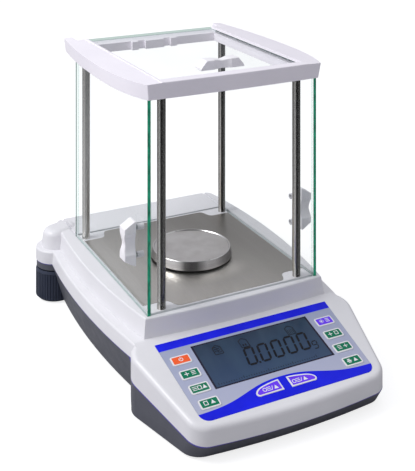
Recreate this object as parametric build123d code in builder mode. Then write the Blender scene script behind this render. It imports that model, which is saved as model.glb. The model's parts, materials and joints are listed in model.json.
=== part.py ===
from build123d import *
import os

# Analytical balance with a glass draught shield.
# Millimetres. Origin on the bench plane under the centre of the pan,
# +Z up, -Y towards the user (display side), +X to the user's right.

# ---------------------------------------------------------------- driving dimensions
DECK_Z = 72.0  # top of the platform that carries the glass chamber
DECK_THICK = 4.0
SHELL = 2.6  # wall of the moulded housings
WALL_FOOT_Z = 54.0  # where the chamber platform meets the ledge
LEDGE_Z = 55.0  # top of the ledge round the platform
PARTING_Z = 42.0  # white upper shell above, dark lower shell below
SKIRT_Z = 4.0  # lowest edge of the dark shell
SKIRT_LEAN = 12.0  # how far the skirts lean in on their way down
REAR_LEAN = 4.0  # how far the dark shell's rear wall leans in

DECK_FRONT, DECK_REAR = -98.0, 150.0
DECK_SIDE = [(93.0, DECK_FRONT), (105.2, 15.0), (95.5, DECK_REAR)]  # the platform's swelling right side
DECK_BOW = 3.5  # how far the front wall swells at its middle
DECK_DRAFT = 2.5  # how far the platform's wall stands out at its foot
DECK_CORNER_REAR, DECK_CORNER_FRONT, DECK_EDGE = 10.0, 2.4, 1.4
LEDGE_SIDE = [(106.4, -109.0), (117.2, 5.0), (111.0, 125.0)]
LEDGE_DRAFT, LEDGE_EDGE = 1.2, 1.8

CONSOLE_BACK, CONSOLE_FRONT = -96.0, -208.0
CONSOLE_HALF_BACK, CONSOLE_HALF_FRONT = 118.2, 93.3
CONSOLE_BOW = 6.0
CONSOLE_CORNER_BACK, CONSOLE_CORNER_FRONT, CONSOLE_EDGE = 18.0, 20.0, 4.5
CONSOLE_CHIN = 8.0  # how far the lowest part of the front leans back
CONSOLE_FLOOR_Z, CONSOLE_BLANK_Z = 2.0, 70.0
PANEL_SLOPE = 0.25  # rise over run of the display panel
PANEL_EDGE_Y, PANEL_EDGE_Z = -109.6, 53.0  # upper edge of the panel overlay
SEAM_SLOPE = 0.174  # the console's parting line falls towards the user
SEAM_EDGE_Y, SEAM_EDGE_Z = -114.0, 30.0
SEAM_FRONT_Z = 14.0  # below this the front of the console leans back

FOOT_X, FOOT_Y = 102.5, 128.0  # axes of the two rear levelling feet
LOBE_R = 21.6
DOME_R, DOME_TAPER, DOME_TOP, DOME_ROUND = 16.0, 8.0, 73.6, 7.0  # dome over the left foot only
DOME_REAR = (-92.0, 132.0)  # where it has run into the platform
LEVEL_AT, LEVEL_R, LEVEL_DEEP = (111.5, 129.0), 8.0, 3.4  # spirit level in the right lobe
WHEEL_R, WHEEL_LOW, WHEEL_TOP, WHEEL_RIBS = 21.75, 1.0, 33.5, 44
WHEEL_BEVEL, WHEEL_GROOVE_R = 2.8, 0.95
WELL_R, RING_LOW = 23.4, 35.0  # wheel wells in the dark shell, and the rings above the wheels
PAD_R, PAD_TOP = 15.0, 3.6  # rubber pads under the wheels
PIVOT_R, PIVOT_TOP = 3.0, 8.0  # stub on which the wheel turns
STUD_LOW, STUD_TOP = 10.0, 48.0
STUD_R, RUNNING_GAP = 4.0, 0.05
INSERT_R, INSERT_Z, INSERT_TOP = 7.0, 36.0, 50.0

FRAME_Z, FRAME_TOP = 266.0, 281.5  # chamber's top frame
FRAME_FRONT, FRAME_REAR = -100.0, 122.0
FRAME_SIDE = [(92.0, FRAME_FRONT), (98.5, -79.0), (105.3, 5.0), (101.8, 72.5), (95.5, FRAME_REAR)]
FRAME_BOW, FRAME_DRAFT, FRAME_EDGE = 2.0, 2.0, 0.8
OPENING_X, OPENING_FRONT = 75.5, -89.5
BAR_FRONT, BAR_REAR, BAR_TOP = 97.0, 118.0, 275.0  # rear cross bar of the frame
LIP_X, LIP_HEIGHT, ROOF_FALL = 77.8, 0.5, 0.04  # lip along the opening, and the fall of the bars outside it

GLASS = 3.2
DOOR_X = 89.7  # outer face of each side door
DOOR_FRONT, DOOR_REAR = -94.8, 100.5
DOOR_LOW, DOOR_HIGH = 70.3, 270.2
GROOVE = 3.6  # width of the grooves the doors and the fixed panes sit in
SIDE_SLACK, END_SLACK = 0.2, 0.4  # free room of sliding glass beside and in front of its edge
ARRIS = 0.25  # chamfer along the glass edges
GROOVE_FLOOR, GROOVE_ROOF = 70.0, 270.6
FRONT_PANE_Y, REAR_PANE_Y = -93.0, 101.0  # mid-planes of the fixed panes
PANE_HALF = 86.2
LID_HALF, LID_FRONT, LID_REAR = 81.0, -91.5, 113.0  # sliding glass lid
LID_LOW = 275.4

PILLAR_R = 4.1
FRONT_PILLAR = (72.2, -86.0)
REAR_PILLAR = (81.7, 89.5)
PILLARS = [(sx * x, y) for sx in (-1, 1) for x, y in (FRONT_PILLAR, REAR_PILLAR)]
SOCKET_LOW, SOCKET_R = 62.0, 7.0  # blind sockets under the deck hold the pillar feet
SLIP = 0.05  # radial play of pins and screws in their holes
LUG_R = 8.0  # corner lugs of the top frame over the front pillars
SPIGOT_R, SPIGOT_TOP = 2.5, 274.0  # threaded tops of the pillars, in the frame
PILLAR_SCREW_R = 2.4
NOTCH_X, NOTCH_Y = 86.7, 104.0  # the side bars step outwards behind this
STOP_FRONT = 92.5  # front of the lid stops on the cross bar
STOP_MIDDLE, STOP_RIB = 11.0, (19.5, 27.0)

PAN_R, PAN_TOP, PAN_LOW = 40.0, 83.0, 74.5
PAN_FLOOR, PAN_UNDER = PAN_TOP - 0.8, PAN_TOP - 2.0  # sunk middle of the pan and its underside
PAN_NOTCH = (1.2, PAN_R - 2.6, PAN_R - 0.2)  # half width and reach of the notches across the rim
PLATE_Z, PLATE_THICK = 71.4, 0.8  # steel floor plate, bedded in the deck
PLATE_HALF, PLATE_FRONT, PLATE_REAR = 85.6, -89.0, 97.0
# round the pillars the plate is scooped away: x where a scoop starts and ends, and its y
SCOOP_FRONT, SCOOP_REAR = (66.0, 52.0, -75.0), (68.0, 54.0, 82.0)
STEM_HOLE_R, PLATE_HOLE_R = 12.0, 11.0
SIDE_HANDLE = (40.5, 29.4, 11.4)  # length at the glass, length of the raised top, height
LID_HANDLE = (46.5, 34.5, 9.0)
HANDLE_WIDTH, HANDLE_LIP, HANDLE_EDGE = 13.0, 2.0, 0.9
HOLLOW_HALF, HANDLE_DIP, HANDLE_WAIST, WAIST_R = 9.5, 1.3, 2.4, 20.0  # hollowed top and sides of a handle
HANDLE_BOSS_GAP = 25.8  # distance between the two fixings of a handle
SIDE_HANDLE_Y, SIDE_HANDLE_Z = -62.0, 127.0
LID_HANDLE_Y = -63.0
CAP_R, CAP_BORE_R, CAP_FLOOR, CAP_LENGTH = 2.75, 2.15, 1.8, 6.6  # hollow caps behind the side handles
CAP_SCREW_HEAD_R, CAP_SCREW_HEAD, CAP_SCREW_REACH = 2.05, 1.6, 5.5

KEY_W, KEY_H = 18.4, 10.4
KEY_COLUMN_X, KEY_COLUMN_LEAN = 74.2, 0.95  # the columns close in by this much from row to row
KEY_ROWS, KEY_TOP_V, KEY_PITCH = 4, -23.3, 16.85
KEY_PROUD, KEY_GAP, KEY_TRAVEL, KEY_CORNER, KEY_EDGE = 0.5, 0.2, 0.4, 2.0, 0.3
WING_INNER, WING_LOW, WING_HIGH, WING_HEEL = 4.0, -82.3, -70.6, 25.5
WING_MID, WING_TIP, WING_NOSE = (18.0, -72.3), (29.4, -78.0), (29.3, -81.0)
WING_SWITCH = (15.0, -76.5)
FLANGE, FLANGE_THICK = 1.2, 0.8
OVERLAY_BED, OVERLAY_TOP = 0.3, 0.1  # the film lies in a shallow bed
OVERLAY_UPPER, OVERLAY_LOWER = (89.3, -0.3), (84.9, -90.4)  # right-hand corners of the overlay
OVERLAY_CORNER = 9.0
LCD_W, LCD_H, LCD_V = 120.0, 51.0, -37.2
LCD_REBATE, LCD_MARGIN = 2.0, 1.5  # housing reaching under the window, display module reaching past it

REAR_POSTS = [(sx * 84, y) for sx in (-1, 1) for y in (-60, 70)]
FRONT_POSTS = [(-94, -150), (94, -150)]
REAR_SPLIT, FRONT_SPLIT = 24.0, 14.0  # heights where the posts of the two shells meet
UPPER_POST_R, LOWER_POST_R = 4.5, 5.5
SCREW_R, SCREW_HEAD_R, SCREW_HEAD, SCREW_SEAT = 1.5, 2.9, 2.2, 6.0
FRONT_FEET, FRONT_FOOT_R, FRONT_STEM_R = [(-76, -168), (76, -168)], 9.0, 3.0

CELL_Z, CELL_FLOOR = 6.6, 8.0  # underside of the cell's base casting and the thickness of its floor
CELL_HALF, CELL_FRONT, CELL_REAR, CELL_WALL = 32.0, -46.0, 76.0, 24.0
CELL_TOP = 58.0
CELL_SCREWS, CELL_SCREW_R = [(sx * 26, y) for sx in (-1, 1) for y in (-38, 68)], 2.0
PIVOT_Z, PIN_R = 44.5, 1.5  # lever pivot
FORK_IN, FORK_OUT, FORK_HALF = 9.0, 15.0, 6.0
COIL_Y, POT_R, POT_BORE_R, POT_CORE_R, POT_TOP = 28.0, 16.0, 12.4, 8.0, 38.0
COIL_R, COIL_BORE_R, COIL_LOW = 11.2, 9.2, 28.0
LEVER_HALF, LEVER_DEEP, LEVER_FRONT = 7.0, 2.5, -28.5
RECEIVER_FRONT, RECEIVER_BACK = -37.0, -31.0
STEM_R, CARRIER_LOW, CARRIER_BORE_TOP = 4.0, 73.4, 79.0
BOARD_THICK = 1.6
BOARD_DEPTH, SWITCH_BODY = -7.2, 2.2  # display board, measured down from the panel face
SWITCH_SIDE, PLUNGER_R = 6.0, 1.6

JACK_X, JACK_R, JACK_BORE_R, JACK_PIN_R, JACK_DEEP = -58.0, 5.0, 3.2, 1.0, 11.0  # seen from behind
PORT_X, PORT_W, PORT_H, PORT_RIM, PORT_DEEP = 42.0, 19.0, 10.6, 2.6, 9.0
BEZEL = 1.2  # both rear sockets stand this far proud of the wall

PANEL = Plane(origin=(0, PANEL_EDGE_Y, PANEL_EDGE_Z), x_dir=(1, 0, 0), z_dir=(0, -PANEL_SLOPE, 1))
SEAM = Plane(origin=(0, SEAM_EDGE_Y, SEAM_EDGE_Z), x_dir=(1, 0, 0), z_dir=(0, -SEAM_SLOPE, 1))

SOCKET_Z = 27.0
REAR_WALL = Plane(
    origin=(0, DECK_REAR - REAR_LEAN * (PARTING_Z - SOCKET_Z) / (PARTING_Z - SKIRT_Z), SOCKET_Z),
    x_dir=(-1, 0, 0),
    z_dir=(0, PARTING_Z - SKIRT_Z, -REAR_LEAN),
)

TRIM_SIZE = 700.0  # trimming slabs, larger than the balance

os.makedirs("parts", exist_ok=True)


def save(name, part):
    """Label one finished piece and write its STEP file."""
    part.label = name
    export_step(part, f"parts/{name}.step")


# ---------------------------------------------------------------- shared outlines
def deck_outline(inset=0.0):
    """Plan of the chamber platform: bowed front, swelling sides, rounded rear corners."""
    (x0, front_y), (x1, y1), (x2, rear_y) = DECK_SIDE
    half = [(x0 - inset, front_y + inset), (x1 - inset, y1), (x2 - inset, rear_y - inset)]
    with BuildSketch() as plan:
        with BuildLine():
            ThreePointArc(*half)
            ThreePointArc(*[(-x, y) for x, y in half])
            ThreePointArc((-half[0][0], half[0][1]), (0, half[0][1] - DECK_BOW), half[0])
            Line((-half[-1][0], half[-1][1]), half[-1])
        make_face()
        rear = plan.vertices().group_by(Axis.Y)[-1]
        front = plan.vertices().group_by(Axis.Y)[0]
        fillet(rear, radius=DECK_CORNER_REAR - inset)
        fillet(front, radius=DECK_CORNER_FRONT)
    return plan.sketch


def ledge_outline(inset=0.0, rear_inset=None):
    """Plan of the ledge at the parting line; the same curve, drawn in, is the skirt's lower edge."""
    rear = DECK_REAR - (inset if rear_inset is None else rear_inset)
    half = [(x - inset, y) for x, y in LEDGE_SIDE]
    with BuildSketch() as plan:
        with BuildLine():
            ThreePointArc(*half)
            ThreePointArc(*[(-x, y) for x, y in half])
            Line((-half[0][0], half[0][1]), half[0])
            Line(half[-1], (half[-1][0], rear))
            Line((-half[-1][0], half[-1][1]), (-half[-1][0], rear))
            Line((-half[-1][0], rear), (half[-1][0], rear))
        make_face()
    return plan.sketch


def console_outline(inset=0.0, front_inset=None):
    """Plan of the console: tapering sides, bowed front, four rounded corners."""
    near = CONSOLE_FRONT + CONSOLE_BOW + (inset if front_inset is None else front_inset)
    back, front = CONSOLE_HALF_BACK - inset, CONSOLE_HALF_FRONT - inset
    with BuildSketch() as plan:
        with BuildLine():
            Line((-back, CONSOLE_BACK), (back, CONSOLE_BACK))
            Line((back, CONSOLE_BACK), (front, near))
            Line((-back, CONSOLE_BACK), (-front, near))
            ThreePointArc((-front, near), (0, near - CONSOLE_BOW), (front, near))
        make_face()
        fillet(plan.vertices().group_by(Axis.Y)[-1], radius=CONSOLE_CORNER_FRONT - inset)
        fillet(plan.vertices().group_by(Axis.Y)[0], radius=CONSOLE_CORNER_BACK - inset)
    return plan.sketch


def frame_outline(inset=0.0):
    """Plan of the top frame: bowed front and sides, open-ended side bars."""
    half = [(x - inset, y) for x, y in FRAME_SIDE]
    half[0] = (half[0][0], FRAME_FRONT + inset)
    with BuildSketch() as plan:
        with BuildLine():
            Spline(*half)
            Spline(*[(-x, y) for x, y in half])
            ThreePointArc((-half[0][0], half[0][1]), (0, half[0][1] - FRAME_BOW), half[0])
            Line((-half[-1][0], half[-1][1]), half[-1])
        make_face()
        fillet(plan.vertices().group_by(Axis.Y)[0], radius=1.2)
    return plan.sketch


def wing_outline(side, grow=0.0):
    """Leaf-shaped key on the panel's lower band; side is +1 on the right, -1 on the left."""
    inner, low, high = WING_INNER - grow, WING_LOW - grow, WING_HIGH + grow
    heel = WING_HEEL + grow / 2
    with BuildSketch() as leaf:
        with BuildLine():
            Line((inner, low), (heel, low))
            top = Spline((inner, high), (WING_MID[0], WING_MID[1] + grow),
                         (WING_TIP[0] + grow, WING_TIP[1] + grow / 2), tangents=[(1, -0.02), (0.6, -1)])
            Line((inner, low), (inner, high))
            ThreePointArc(top @ 1, (WING_NOSE[0] + grow, WING_NOSE[1] - grow / 2), (heel, low))
        make_face()
        if side < 0:
            mirror(about=Plane.YZ, mode=Mode.REPLACE)
    return leaf.sketch


def prism(sketch, low, high):
    """Straight prism between two heights."""
    with BuildPart() as body:
        with BuildSketch(Plane.XY.offset(low)):
            add(sketch)
        extrude(amount=high - low)
    return body.part


def tapered(sketch_low, low, sketch_high, high):
    """Drafted prism between two similar outlines."""
    with BuildPart() as body:
        with BuildSketch(Plane.XY.offset(low)):
            add(sketch_low)
        with BuildSketch(Plane.XY.offset(high)):
            add(sketch_high)
        loft(ruled=True)
    return body.part


def discs(spots, radius, low, high):
    """One vertical cylinder at each spot."""
    with BuildPart() as group:
        with BuildSketch(Plane.XY.offset(low)):
            with Locations(*spots):
                Circle(radius)
        extrude(amount=high - low)
    return group.part


def block(x0, x1, y0, y1, z0, z1):
    """Rectangular block given by its two corners."""
    with BuildPart() as body:
        with BuildSketch(Plane.XY.offset(z0)):
            with Locations(((x0 + x1) / 2, (y0 + y1) / 2)):
                Rectangle(x1 - x0, y1 - y0)
        extrude(amount=z1 - z0)
    return body.part


def under_plane(plane, gap=0.0, depth=120.0):
    """Large slab below a sloping plane, used to trim the console."""
    with BuildPart() as slab:
        with BuildSketch(plane.offset(-gap)):
            Rectangle(TRIM_SIZE, TRIM_SIZE)
        extrude(amount=-depth)
    return slab.part


LEFT_FOOT, RIGHT_FOOT = (-FOOT_X, FOOT_Y), (FOOT_X, FOOT_Y)
FEET = [LEFT_FOOT, RIGHT_FOOT]
KEY_SPOTS = [(side * (KEY_COLUMN_X - row * KEY_COLUMN_LEAN), KEY_TOP_V - row * KEY_PITCH)
             for side in (-1, 1) for row in range(KEY_ROWS)]


def plate_outline(grow=0.0):
    """Steel floor plate with its four corners scooped away round the pillars."""
    x = PLATE_HALF + grow
    corners = [(*SCOOP_FRONT[:2], SCOOP_FRONT[2] - grow, PLATE_FRONT - grow),
               (*SCOOP_REAR[:2], SCOOP_REAR[2] + grow, PLATE_REAR + grow)]
    with BuildSketch() as plate:
        with BuildLine():
            for side in (-1, 1):
                Line((side * x, corners[0][2]), (side * x, corners[1][2]))
                for outer, inner, notch_y, edge_y in corners:
                    Line((side * x, notch_y), (side * outer, notch_y))
                    Spline((side * outer, notch_y), (side * inner, edge_y),
                           tangents=[(-side, 0), (-side, 0)])
            for outer, inner, notch_y, edge_y in corners:
                Line((-inner, edge_y), (inner, edge_y))
        make_face()
    return plate.sketch


def overlay_outline(grow=0.0):
    """Printed overlay on the panel, in panel coordinates."""
    (upper, top), (lower, low) = OVERLAY_UPPER, OVERLAY_LOWER
    upper, top, lower, low = upper + grow, top + grow, lower + grow, low - grow
    with BuildSketch() as film:
        with BuildLine():
            Polyline((-upper, top), (upper, top), (lower, low), (-lower, low), close=True)
        make_face()
        fillet(film.vertices().group_by(Axis.Y)[0], radius=OVERLAY_CORNER)
    return film.sketch


def key_plates(grow=0.0):
    """Outlines of the eight square keys and the two wing keys, in panel coordinates."""
    with BuildSketch() as keys:
        with Locations(*KEY_SPOTS):
            RectangleRounded(KEY_W + 2 * grow, KEY_H + 2 * grow, KEY_CORNER + grow)
        for side in (-1, 1):
            add(wing_outline(side, grow))
    return keys.sketch


def key_holes():
    """Openings round the keys in the panel and in the overlay."""
    return key_plates(KEY_GAP)


# ---------------------------------------------------------------- white upper housing
def console_upper():
    """Solid console wedge above its parting line, top edge rounded over."""
    with BuildPart() as wedge:
        add(prism(console_outline(), CONSOLE_FLOOR_Z, CONSOLE_BLANK_Z))
        add(under_plane(PANEL), mode=Mode.INTERSECT)
        rim = wedge.faces().sort_by(Axis.Z)[-1].edges()
        top = [e for e in rim if e.center().Y < CONSOLE_BACK - 0.5]
        fillet(top, radius=CONSOLE_EDGE)
        add(under_plane(SEAM), mode=Mode.SUBTRACT)
    return wedge.part


def ledge_and_lobes():
    """Ledge round the platform with the two round lobes over the rear feet."""
    with BuildPart() as ledge:
        add(tapered(ledge_outline(), PARTING_Z, ledge_outline(LEDGE_DRAFT), LEDGE_Z))
        add(discs(FEET, LOBE_R, PARTING_Z, LEDGE_Z))
        top = ledge.faces().sort_by(Axis.Z)[-1].edges()
        fillet([e for e in top if e.center().Y > LEDGE_SIDE[0][1] + 2], radius=LEDGE_EDGE)
        add(under_plane(PANEL), mode=Mode.INTERSECT)
    return ledge.part


def foot_dome():
    """Soft dome that rises from the left lobe and runs back into the platform's rear corner."""
    with BuildPart() as dome:
        with BuildSketch(Plane.XY.offset(LEDGE_Z - 1)) as base:
            with Locations(LEFT_FOOT, DOME_REAR):
                Circle(DOME_R)
            make_hull(base.edges())
        extrude(amount=DOME_TOP - LEDGE_Z + 1, taper=DOME_TAPER)
        fillet(dome.faces().sort_by(Axis.Z)[-1].edges(), radius=DOME_ROUND)
    return dome.part


def platform():
    """Drafted block that carries the chamber."""
    with BuildPart() as body:
        add(tapered(deck_outline(-DECK_DRAFT), WALL_FOOT_Z - 2, deck_outline(), DECK_Z))
        fillet(body.faces().sort_by(Axis.Z)[-1].edges(), radius=DECK_EDGE)
    return body.part


def console_core():
    """Inside of the console below the panel."""
    with BuildPart() as core:
        add(prism(console_outline(SHELL), CONSOLE_FLOOR_Z + 2, CONSOLE_BLANK_Z))
        add(under_plane(PANEL, gap=SHELL), mode=Mode.INTERSECT)
    return core.part


def front_posts():
    """Screw posts that hang from the underside of the panel."""
    with BuildPart() as posts:
        add(discs(FRONT_POSTS, UPPER_POST_R, FRONT_SPLIT + 0.2, PANEL_EDGE_Z))
        add(under_plane(PANEL, gap=SHELL / 2), mode=Mode.INTERSECT)
    return posts.part


def glass_grooves(low, high):
    """Room for the sliding doors, open at the rear, and for the front and rear panes."""
    with BuildPart() as grooves:
        for side in (-1, 1):
            x0, x1 = sorted((side * (DOOR_X + SIDE_SLACK), side * (DOOR_X + SIDE_SLACK - GROOVE)))
            add(block(x0, x1, DOOR_FRONT - END_SLACK, DECK_REAR + 5, low, high))
        for pane_y in (FRONT_PANE_Y, REAR_PANE_Y):
            add(block(-PANE_HALF, PANE_HALF, pane_y - GROOVE / 2, pane_y + GROOVE / 2, low, high))
    return grooves.part


with BuildPart() as upper_housing:
    add(platform())
    add(ledge_and_lobes())
    add(foot_dome())
    add(console_upper())
    # hollow inside
    add(prism(deck_outline(SHELL), WALL_FOOT_Z - 30, DECK_Z - DECK_THICK), mode=Mode.SUBTRACT)
    add(prism(ledge_outline(SHELL + LEDGE_DRAFT), PARTING_Z - 1, LEDGE_Z - SHELL), mode=Mode.SUBTRACT)
    add(discs(FEET, LOBE_R - SHELL, PARTING_Z - 1, LEDGE_Z - SHELL), mode=Mode.SUBTRACT)
    add(discs([LEFT_FOOT], DOME_R - 6, LEDGE_Z - SHELL - 1, DECK_Z - 8), mode=Mode.SUBTRACT)
    add(console_core(), mode=Mode.SUBTRACT)
    # sockets for the pillar feet, and posts for the housing screws
    add(discs(PILLARS, SOCKET_R, SOCKET_LOW - 2, DECK_Z - DECK_THICK + 0.5))
    add(discs(PILLARS, PILLAR_R + SLIP, SOCKET_LOW, DECK_Z + 1), mode=Mode.SUBTRACT)
    add(discs(PILLARS, PILLAR_SCREW_R + 0.2, SOCKET_LOW - 3, SOCKET_LOW + 1), mode=Mode.SUBTRACT)
    add(discs(REAR_POSTS, UPPER_POST_R, REAR_SPLIT + 0.2, DECK_Z - DECK_THICK + 0.5))
    add(discs(REAR_POSTS, SCREW_R + SLIP, REAR_SPLIT - 4, REAR_SPLIT + 20), mode=Mode.SUBTRACT)
    add(front_posts())
    add(discs(FRONT_POSTS, SCREW_R + SLIP, FRONT_SPLIT - 4, FRONT_SPLIT + 13), mode=Mode.SUBTRACT)
    # openings in the deck: pan stem, door grooves, fixed panes, recess for the steel floor plate
    add(discs([(0, 0)], STEM_HOLE_R, DECK_Z - 10, DECK_Z + 1), mode=Mode.SUBTRACT)
    add(glass_grooves(GROOVE_FLOOR, DOME_TOP + 1), mode=Mode.SUBTRACT)
    add(prism(plate_outline(0.3), PLATE_Z, DECK_Z + 1), mode=Mode.SUBTRACT)
    # recess for the spirit level
    add(discs([LEVEL_AT], LEVEL_R + 0.1, LEDGE_Z - LEVEL_DEEP, LEDGE_Z + 1), mode=Mode.SUBTRACT)
    # openings in the panel: display, keys and the shallow bed of the overlay
    with BuildSketch(PANEL.offset(2)):
        with Locations((0, LCD_V)):
            Rectangle(LCD_W - 2 * LCD_REBATE, LCD_H - 2 * LCD_REBATE)
        add(key_holes())
    extrude(amount=-(2 + SHELL + 1), mode=Mode.SUBTRACT)
    with BuildSketch(PANEL.offset(2)):
        add(overlay_outline(0.2))
    extrude(amount=-(2 + OVERLAY_BED), mode=Mode.SUBTRACT)
save("upper_housing", upper_housing.part)


# ---------------------------------------------------------------- dark lower housing
def lower_solid():
    """Outer form of the dark shell: leaning skirts, console tub and two foot rings."""
    with BuildPart() as tub:
        add(tapered(ledge_outline(SKIRT_LEAN, REAR_LEAN), SKIRT_Z, ledge_outline(), PARTING_Z))
        add(discs(FEET, LOBE_R - 0.6, RING_LOW, PARTING_Z))
        add(tapered(console_outline(0, CONSOLE_CHIN), CONSOLE_FLOOR_Z, console_outline(), SEAM_FRONT_Z))
        add(prism(console_outline(), SEAM_FRONT_Z, PARTING_Z))
    return tub.part


def lower_hollow():
    """Inside of the dark shell, clear of the wheel wells and the foot rings."""
    with BuildPart() as core:
        add(tapered(ledge_outline(SKIRT_LEAN + SHELL, REAR_LEAN + SHELL), SKIRT_Z + SHELL,
                    ledge_outline(SHELL), PARTING_Z + 1))
        add(discs(FEET, WELL_R + SHELL, 0, RING_LOW + SHELL), mode=Mode.SUBTRACT)
        add(discs(FEET, LOBE_R - SHELL, RING_LOW + SHELL, PARTING_Z + 1))
        add(prism(console_outline(SHELL, CONSOLE_CHIN + SHELL), CONSOLE_FLOOR_Z + SHELL, CONSOLE_BLANK_Z))
    return core.part


def above_seam():
    """Space above the console's falling parting line, which the white shell takes."""
    with BuildPart() as above:
        add(prism(console_outline(-0.4, -2), 0, CONSOLE_BLANK_Z))
        add(under_plane(SEAM), mode=Mode.SUBTRACT)
    return above.part


with BuildPart() as lower_housing:
    add(lower_solid())
    add(lower_hollow(), mode=Mode.SUBTRACT)
    add(above_seam(), mode=Mode.SUBTRACT)
    # wheel wells and the bosses that hold the threaded inserts
    add(discs(FEET, WELL_R, 0, RING_LOW), mode=Mode.SUBTRACT)
    add(discs(FEET, INSERT_R + 3, RING_LOW, INSERT_TOP - 0.5))
    add(discs(FEET, INSERT_R, RING_LOW - 1, INSERT_TOP + 1), mode=Mode.SUBTRACT)
    # posts for the housing screws, counterbored from below
    for posts, floor_z, split in ((REAR_POSTS, SKIRT_Z, REAR_SPLIT),
                                  (FRONT_POSTS, CONSOLE_FLOOR_Z, FRONT_SPLIT)):
        add(discs(posts, LOWER_POST_R, floor_z, split))
        add(discs(posts, SCREW_HEAD_R + 0.4, 0, split - SCREW_SEAT), mode=Mode.SUBTRACT)
        add(discs(posts, SCREW_R + 0.2, 0, split + 1), mode=Mode.SUBTRACT)
    # holes for the front feet, the load cell screws and the rear sockets
    add(discs(FRONT_FEET, FRONT_STEM_R, 0, 10), mode=Mode.SUBTRACT)
    add(discs(CELL_SCREWS, CELL_SCREW_R + 0.1, 0, 10), mode=Mode.SUBTRACT)
    with BuildSketch(REAR_WALL.offset(1)):
        with Locations((JACK_X, 0)):
            Circle(JACK_R)
        with Locations((PORT_X, 0)):
            Rectangle(PORT_W, PORT_H)
    extrude(amount=-14, mode=Mode.SUBTRACT)
save("lower_housing", lower_housing.part)

with BuildPart() as housing_screws:
    for spots, seat, length in ((REAR_POSTS, REAR_SPLIT - SCREW_SEAT, 22),
                                (FRONT_POSTS, FRONT_SPLIT - SCREW_SEAT, 16)):
        add(discs(spots, SCREW_HEAD_R, seat - SCREW_HEAD, seat))
        add(discs(spots, SCREW_R, seat, seat + length))
save("housing_screws", housing_screws.part)


# ---------------------------------------------------------------- feet
with BuildPart() as front_feet:
    add(discs(FRONT_FEET, FRONT_FOOT_R, 0, CONSOLE_FLOOR_Z))
    fillet(front_feet.faces().sort_by(Axis.Z)[0].edges(), radius=0.8)
    add(discs(FRONT_FEET, FRONT_STEM_R, CONSOLE_FLOOR_Z, CONSOLE_FLOOR_Z + SHELL))
    add(discs(FRONT_FEET, FRONT_STEM_R + 1, CONSOLE_FLOOR_Z + SHELL, CONSOLE_FLOOR_Z + SHELL + 1.2))
save("front_feet", front_feet.part)

with BuildPart() as foot_inserts:
    add(discs(FEET, INSERT_R, INSERT_Z, INSERT_TOP - 1))
    add(discs(FEET, STUD_R + RUNNING_GAP, INSERT_Z - 1, INSERT_TOP), mode=Mode.SUBTRACT)
save("foot_inserts", foot_inserts.part)


def foot_wheel(spot):
    """Ribbed hand wheel of a levelling foot, bevelled at both rims."""
    with BuildPart() as wheel:
        axis_x, rim_x = spot[0], spot[0] + WHEEL_R
        with BuildSketch(Plane.XZ.offset(-spot[1])):
            with BuildLine():
                Polyline((axis_x, WHEEL_LOW), (rim_x - WHEEL_BEVEL, WHEEL_LOW),
                         (rim_x, WHEEL_LOW + WHEEL_BEVEL), (rim_x, WHEEL_TOP - 2.5),
                         (rim_x - 0.9, WHEEL_TOP), (axis_x, WHEEL_TOP), close=True)
            make_face()
        revolve(axis=Axis((axis_x, spot[1], 0), (0, 0, 1)))
        with BuildSketch(Plane.XY.offset(WHEEL_LOW - 1)):
            with Locations(spot):
                with PolarLocations(WHEEL_R + 0.1, WHEEL_RIBS):
                    Circle(WHEEL_GROOVE_R)
        extrude(amount=WHEEL_TOP - WHEEL_LOW - 2, mode=Mode.SUBTRACT)
        add(discs([spot], PAD_R + 1, 0, PAD_TOP + 0.3), mode=Mode.SUBTRACT)
        add(discs([spot], PIVOT_R + RUNNING_GAP, 0, PIVOT_TOP + 0.4), mode=Mode.SUBTRACT)
        add(discs([spot], STUD_R, STUD_LOW, WHEEL_TOP + 1), mode=Mode.SUBTRACT)
    return wheel.part


def foot_stud(spot):
    """Threaded stud moulded into the wheel, tip chamfered."""
    with BuildPart() as stud:
        add(discs([spot], STUD_R, STUD_LOW, STUD_TOP))
        chamfer(stud.faces().sort_by(Axis.Z)[-1].edges(), length=0.8)
    return stud.part


def foot_pad(spot):
    """Rubber pad that stays still on the bench while the wheel turns above it."""
    with BuildPart() as pad:
        add(discs([spot], PAD_R, 0, PAD_TOP))
        fillet(pad.faces().sort_by(Axis.Z)[0].edges(), radius=0.8)
        add(discs([spot], PIVOT_R, PAD_TOP, PIVOT_TOP))
    return pad.part


for side_name, spot in (("left", LEFT_FOOT), ("right", RIGHT_FOOT)):
    save(f"{side_name}_foot_wheel", foot_wheel(spot))
    save(f"{side_name}_foot_stud", foot_stud(spot))
    save(f"{side_name}_foot_pad", foot_pad(spot))


# ---------------------------------------------------------------- chamber: pillars, frame, fixed glass
with BuildPart() as pillars:
    add(discs(PILLARS, PILLAR_R, SOCKET_LOW, FRAME_Z))
    add(discs(PILLARS, SPIGOT_R, FRAME_Z, SPIGOT_TOP))
    add(discs(PILLARS, PILLAR_SCREW_R + SLIP, SOCKET_LOW - 1, SOCKET_LOW + 14), mode=Mode.SUBTRACT)
save("pillars", pillars.part)

with BuildPart() as pillar_screws:
    add(discs(PILLARS, PILLAR_SCREW_R, SOCKET_LOW - 2, SOCKET_LOW + 12))
    add(discs(PILLARS, 4.4, SOCKET_LOW - 5, SOCKET_LOW - 2))
    add(discs(PILLARS, 2.0, SOCKET_LOW - 6, SOCKET_LOW - 3), mode=Mode.SUBTRACT)
save("pillar_screws", pillar_screws.part)

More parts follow.
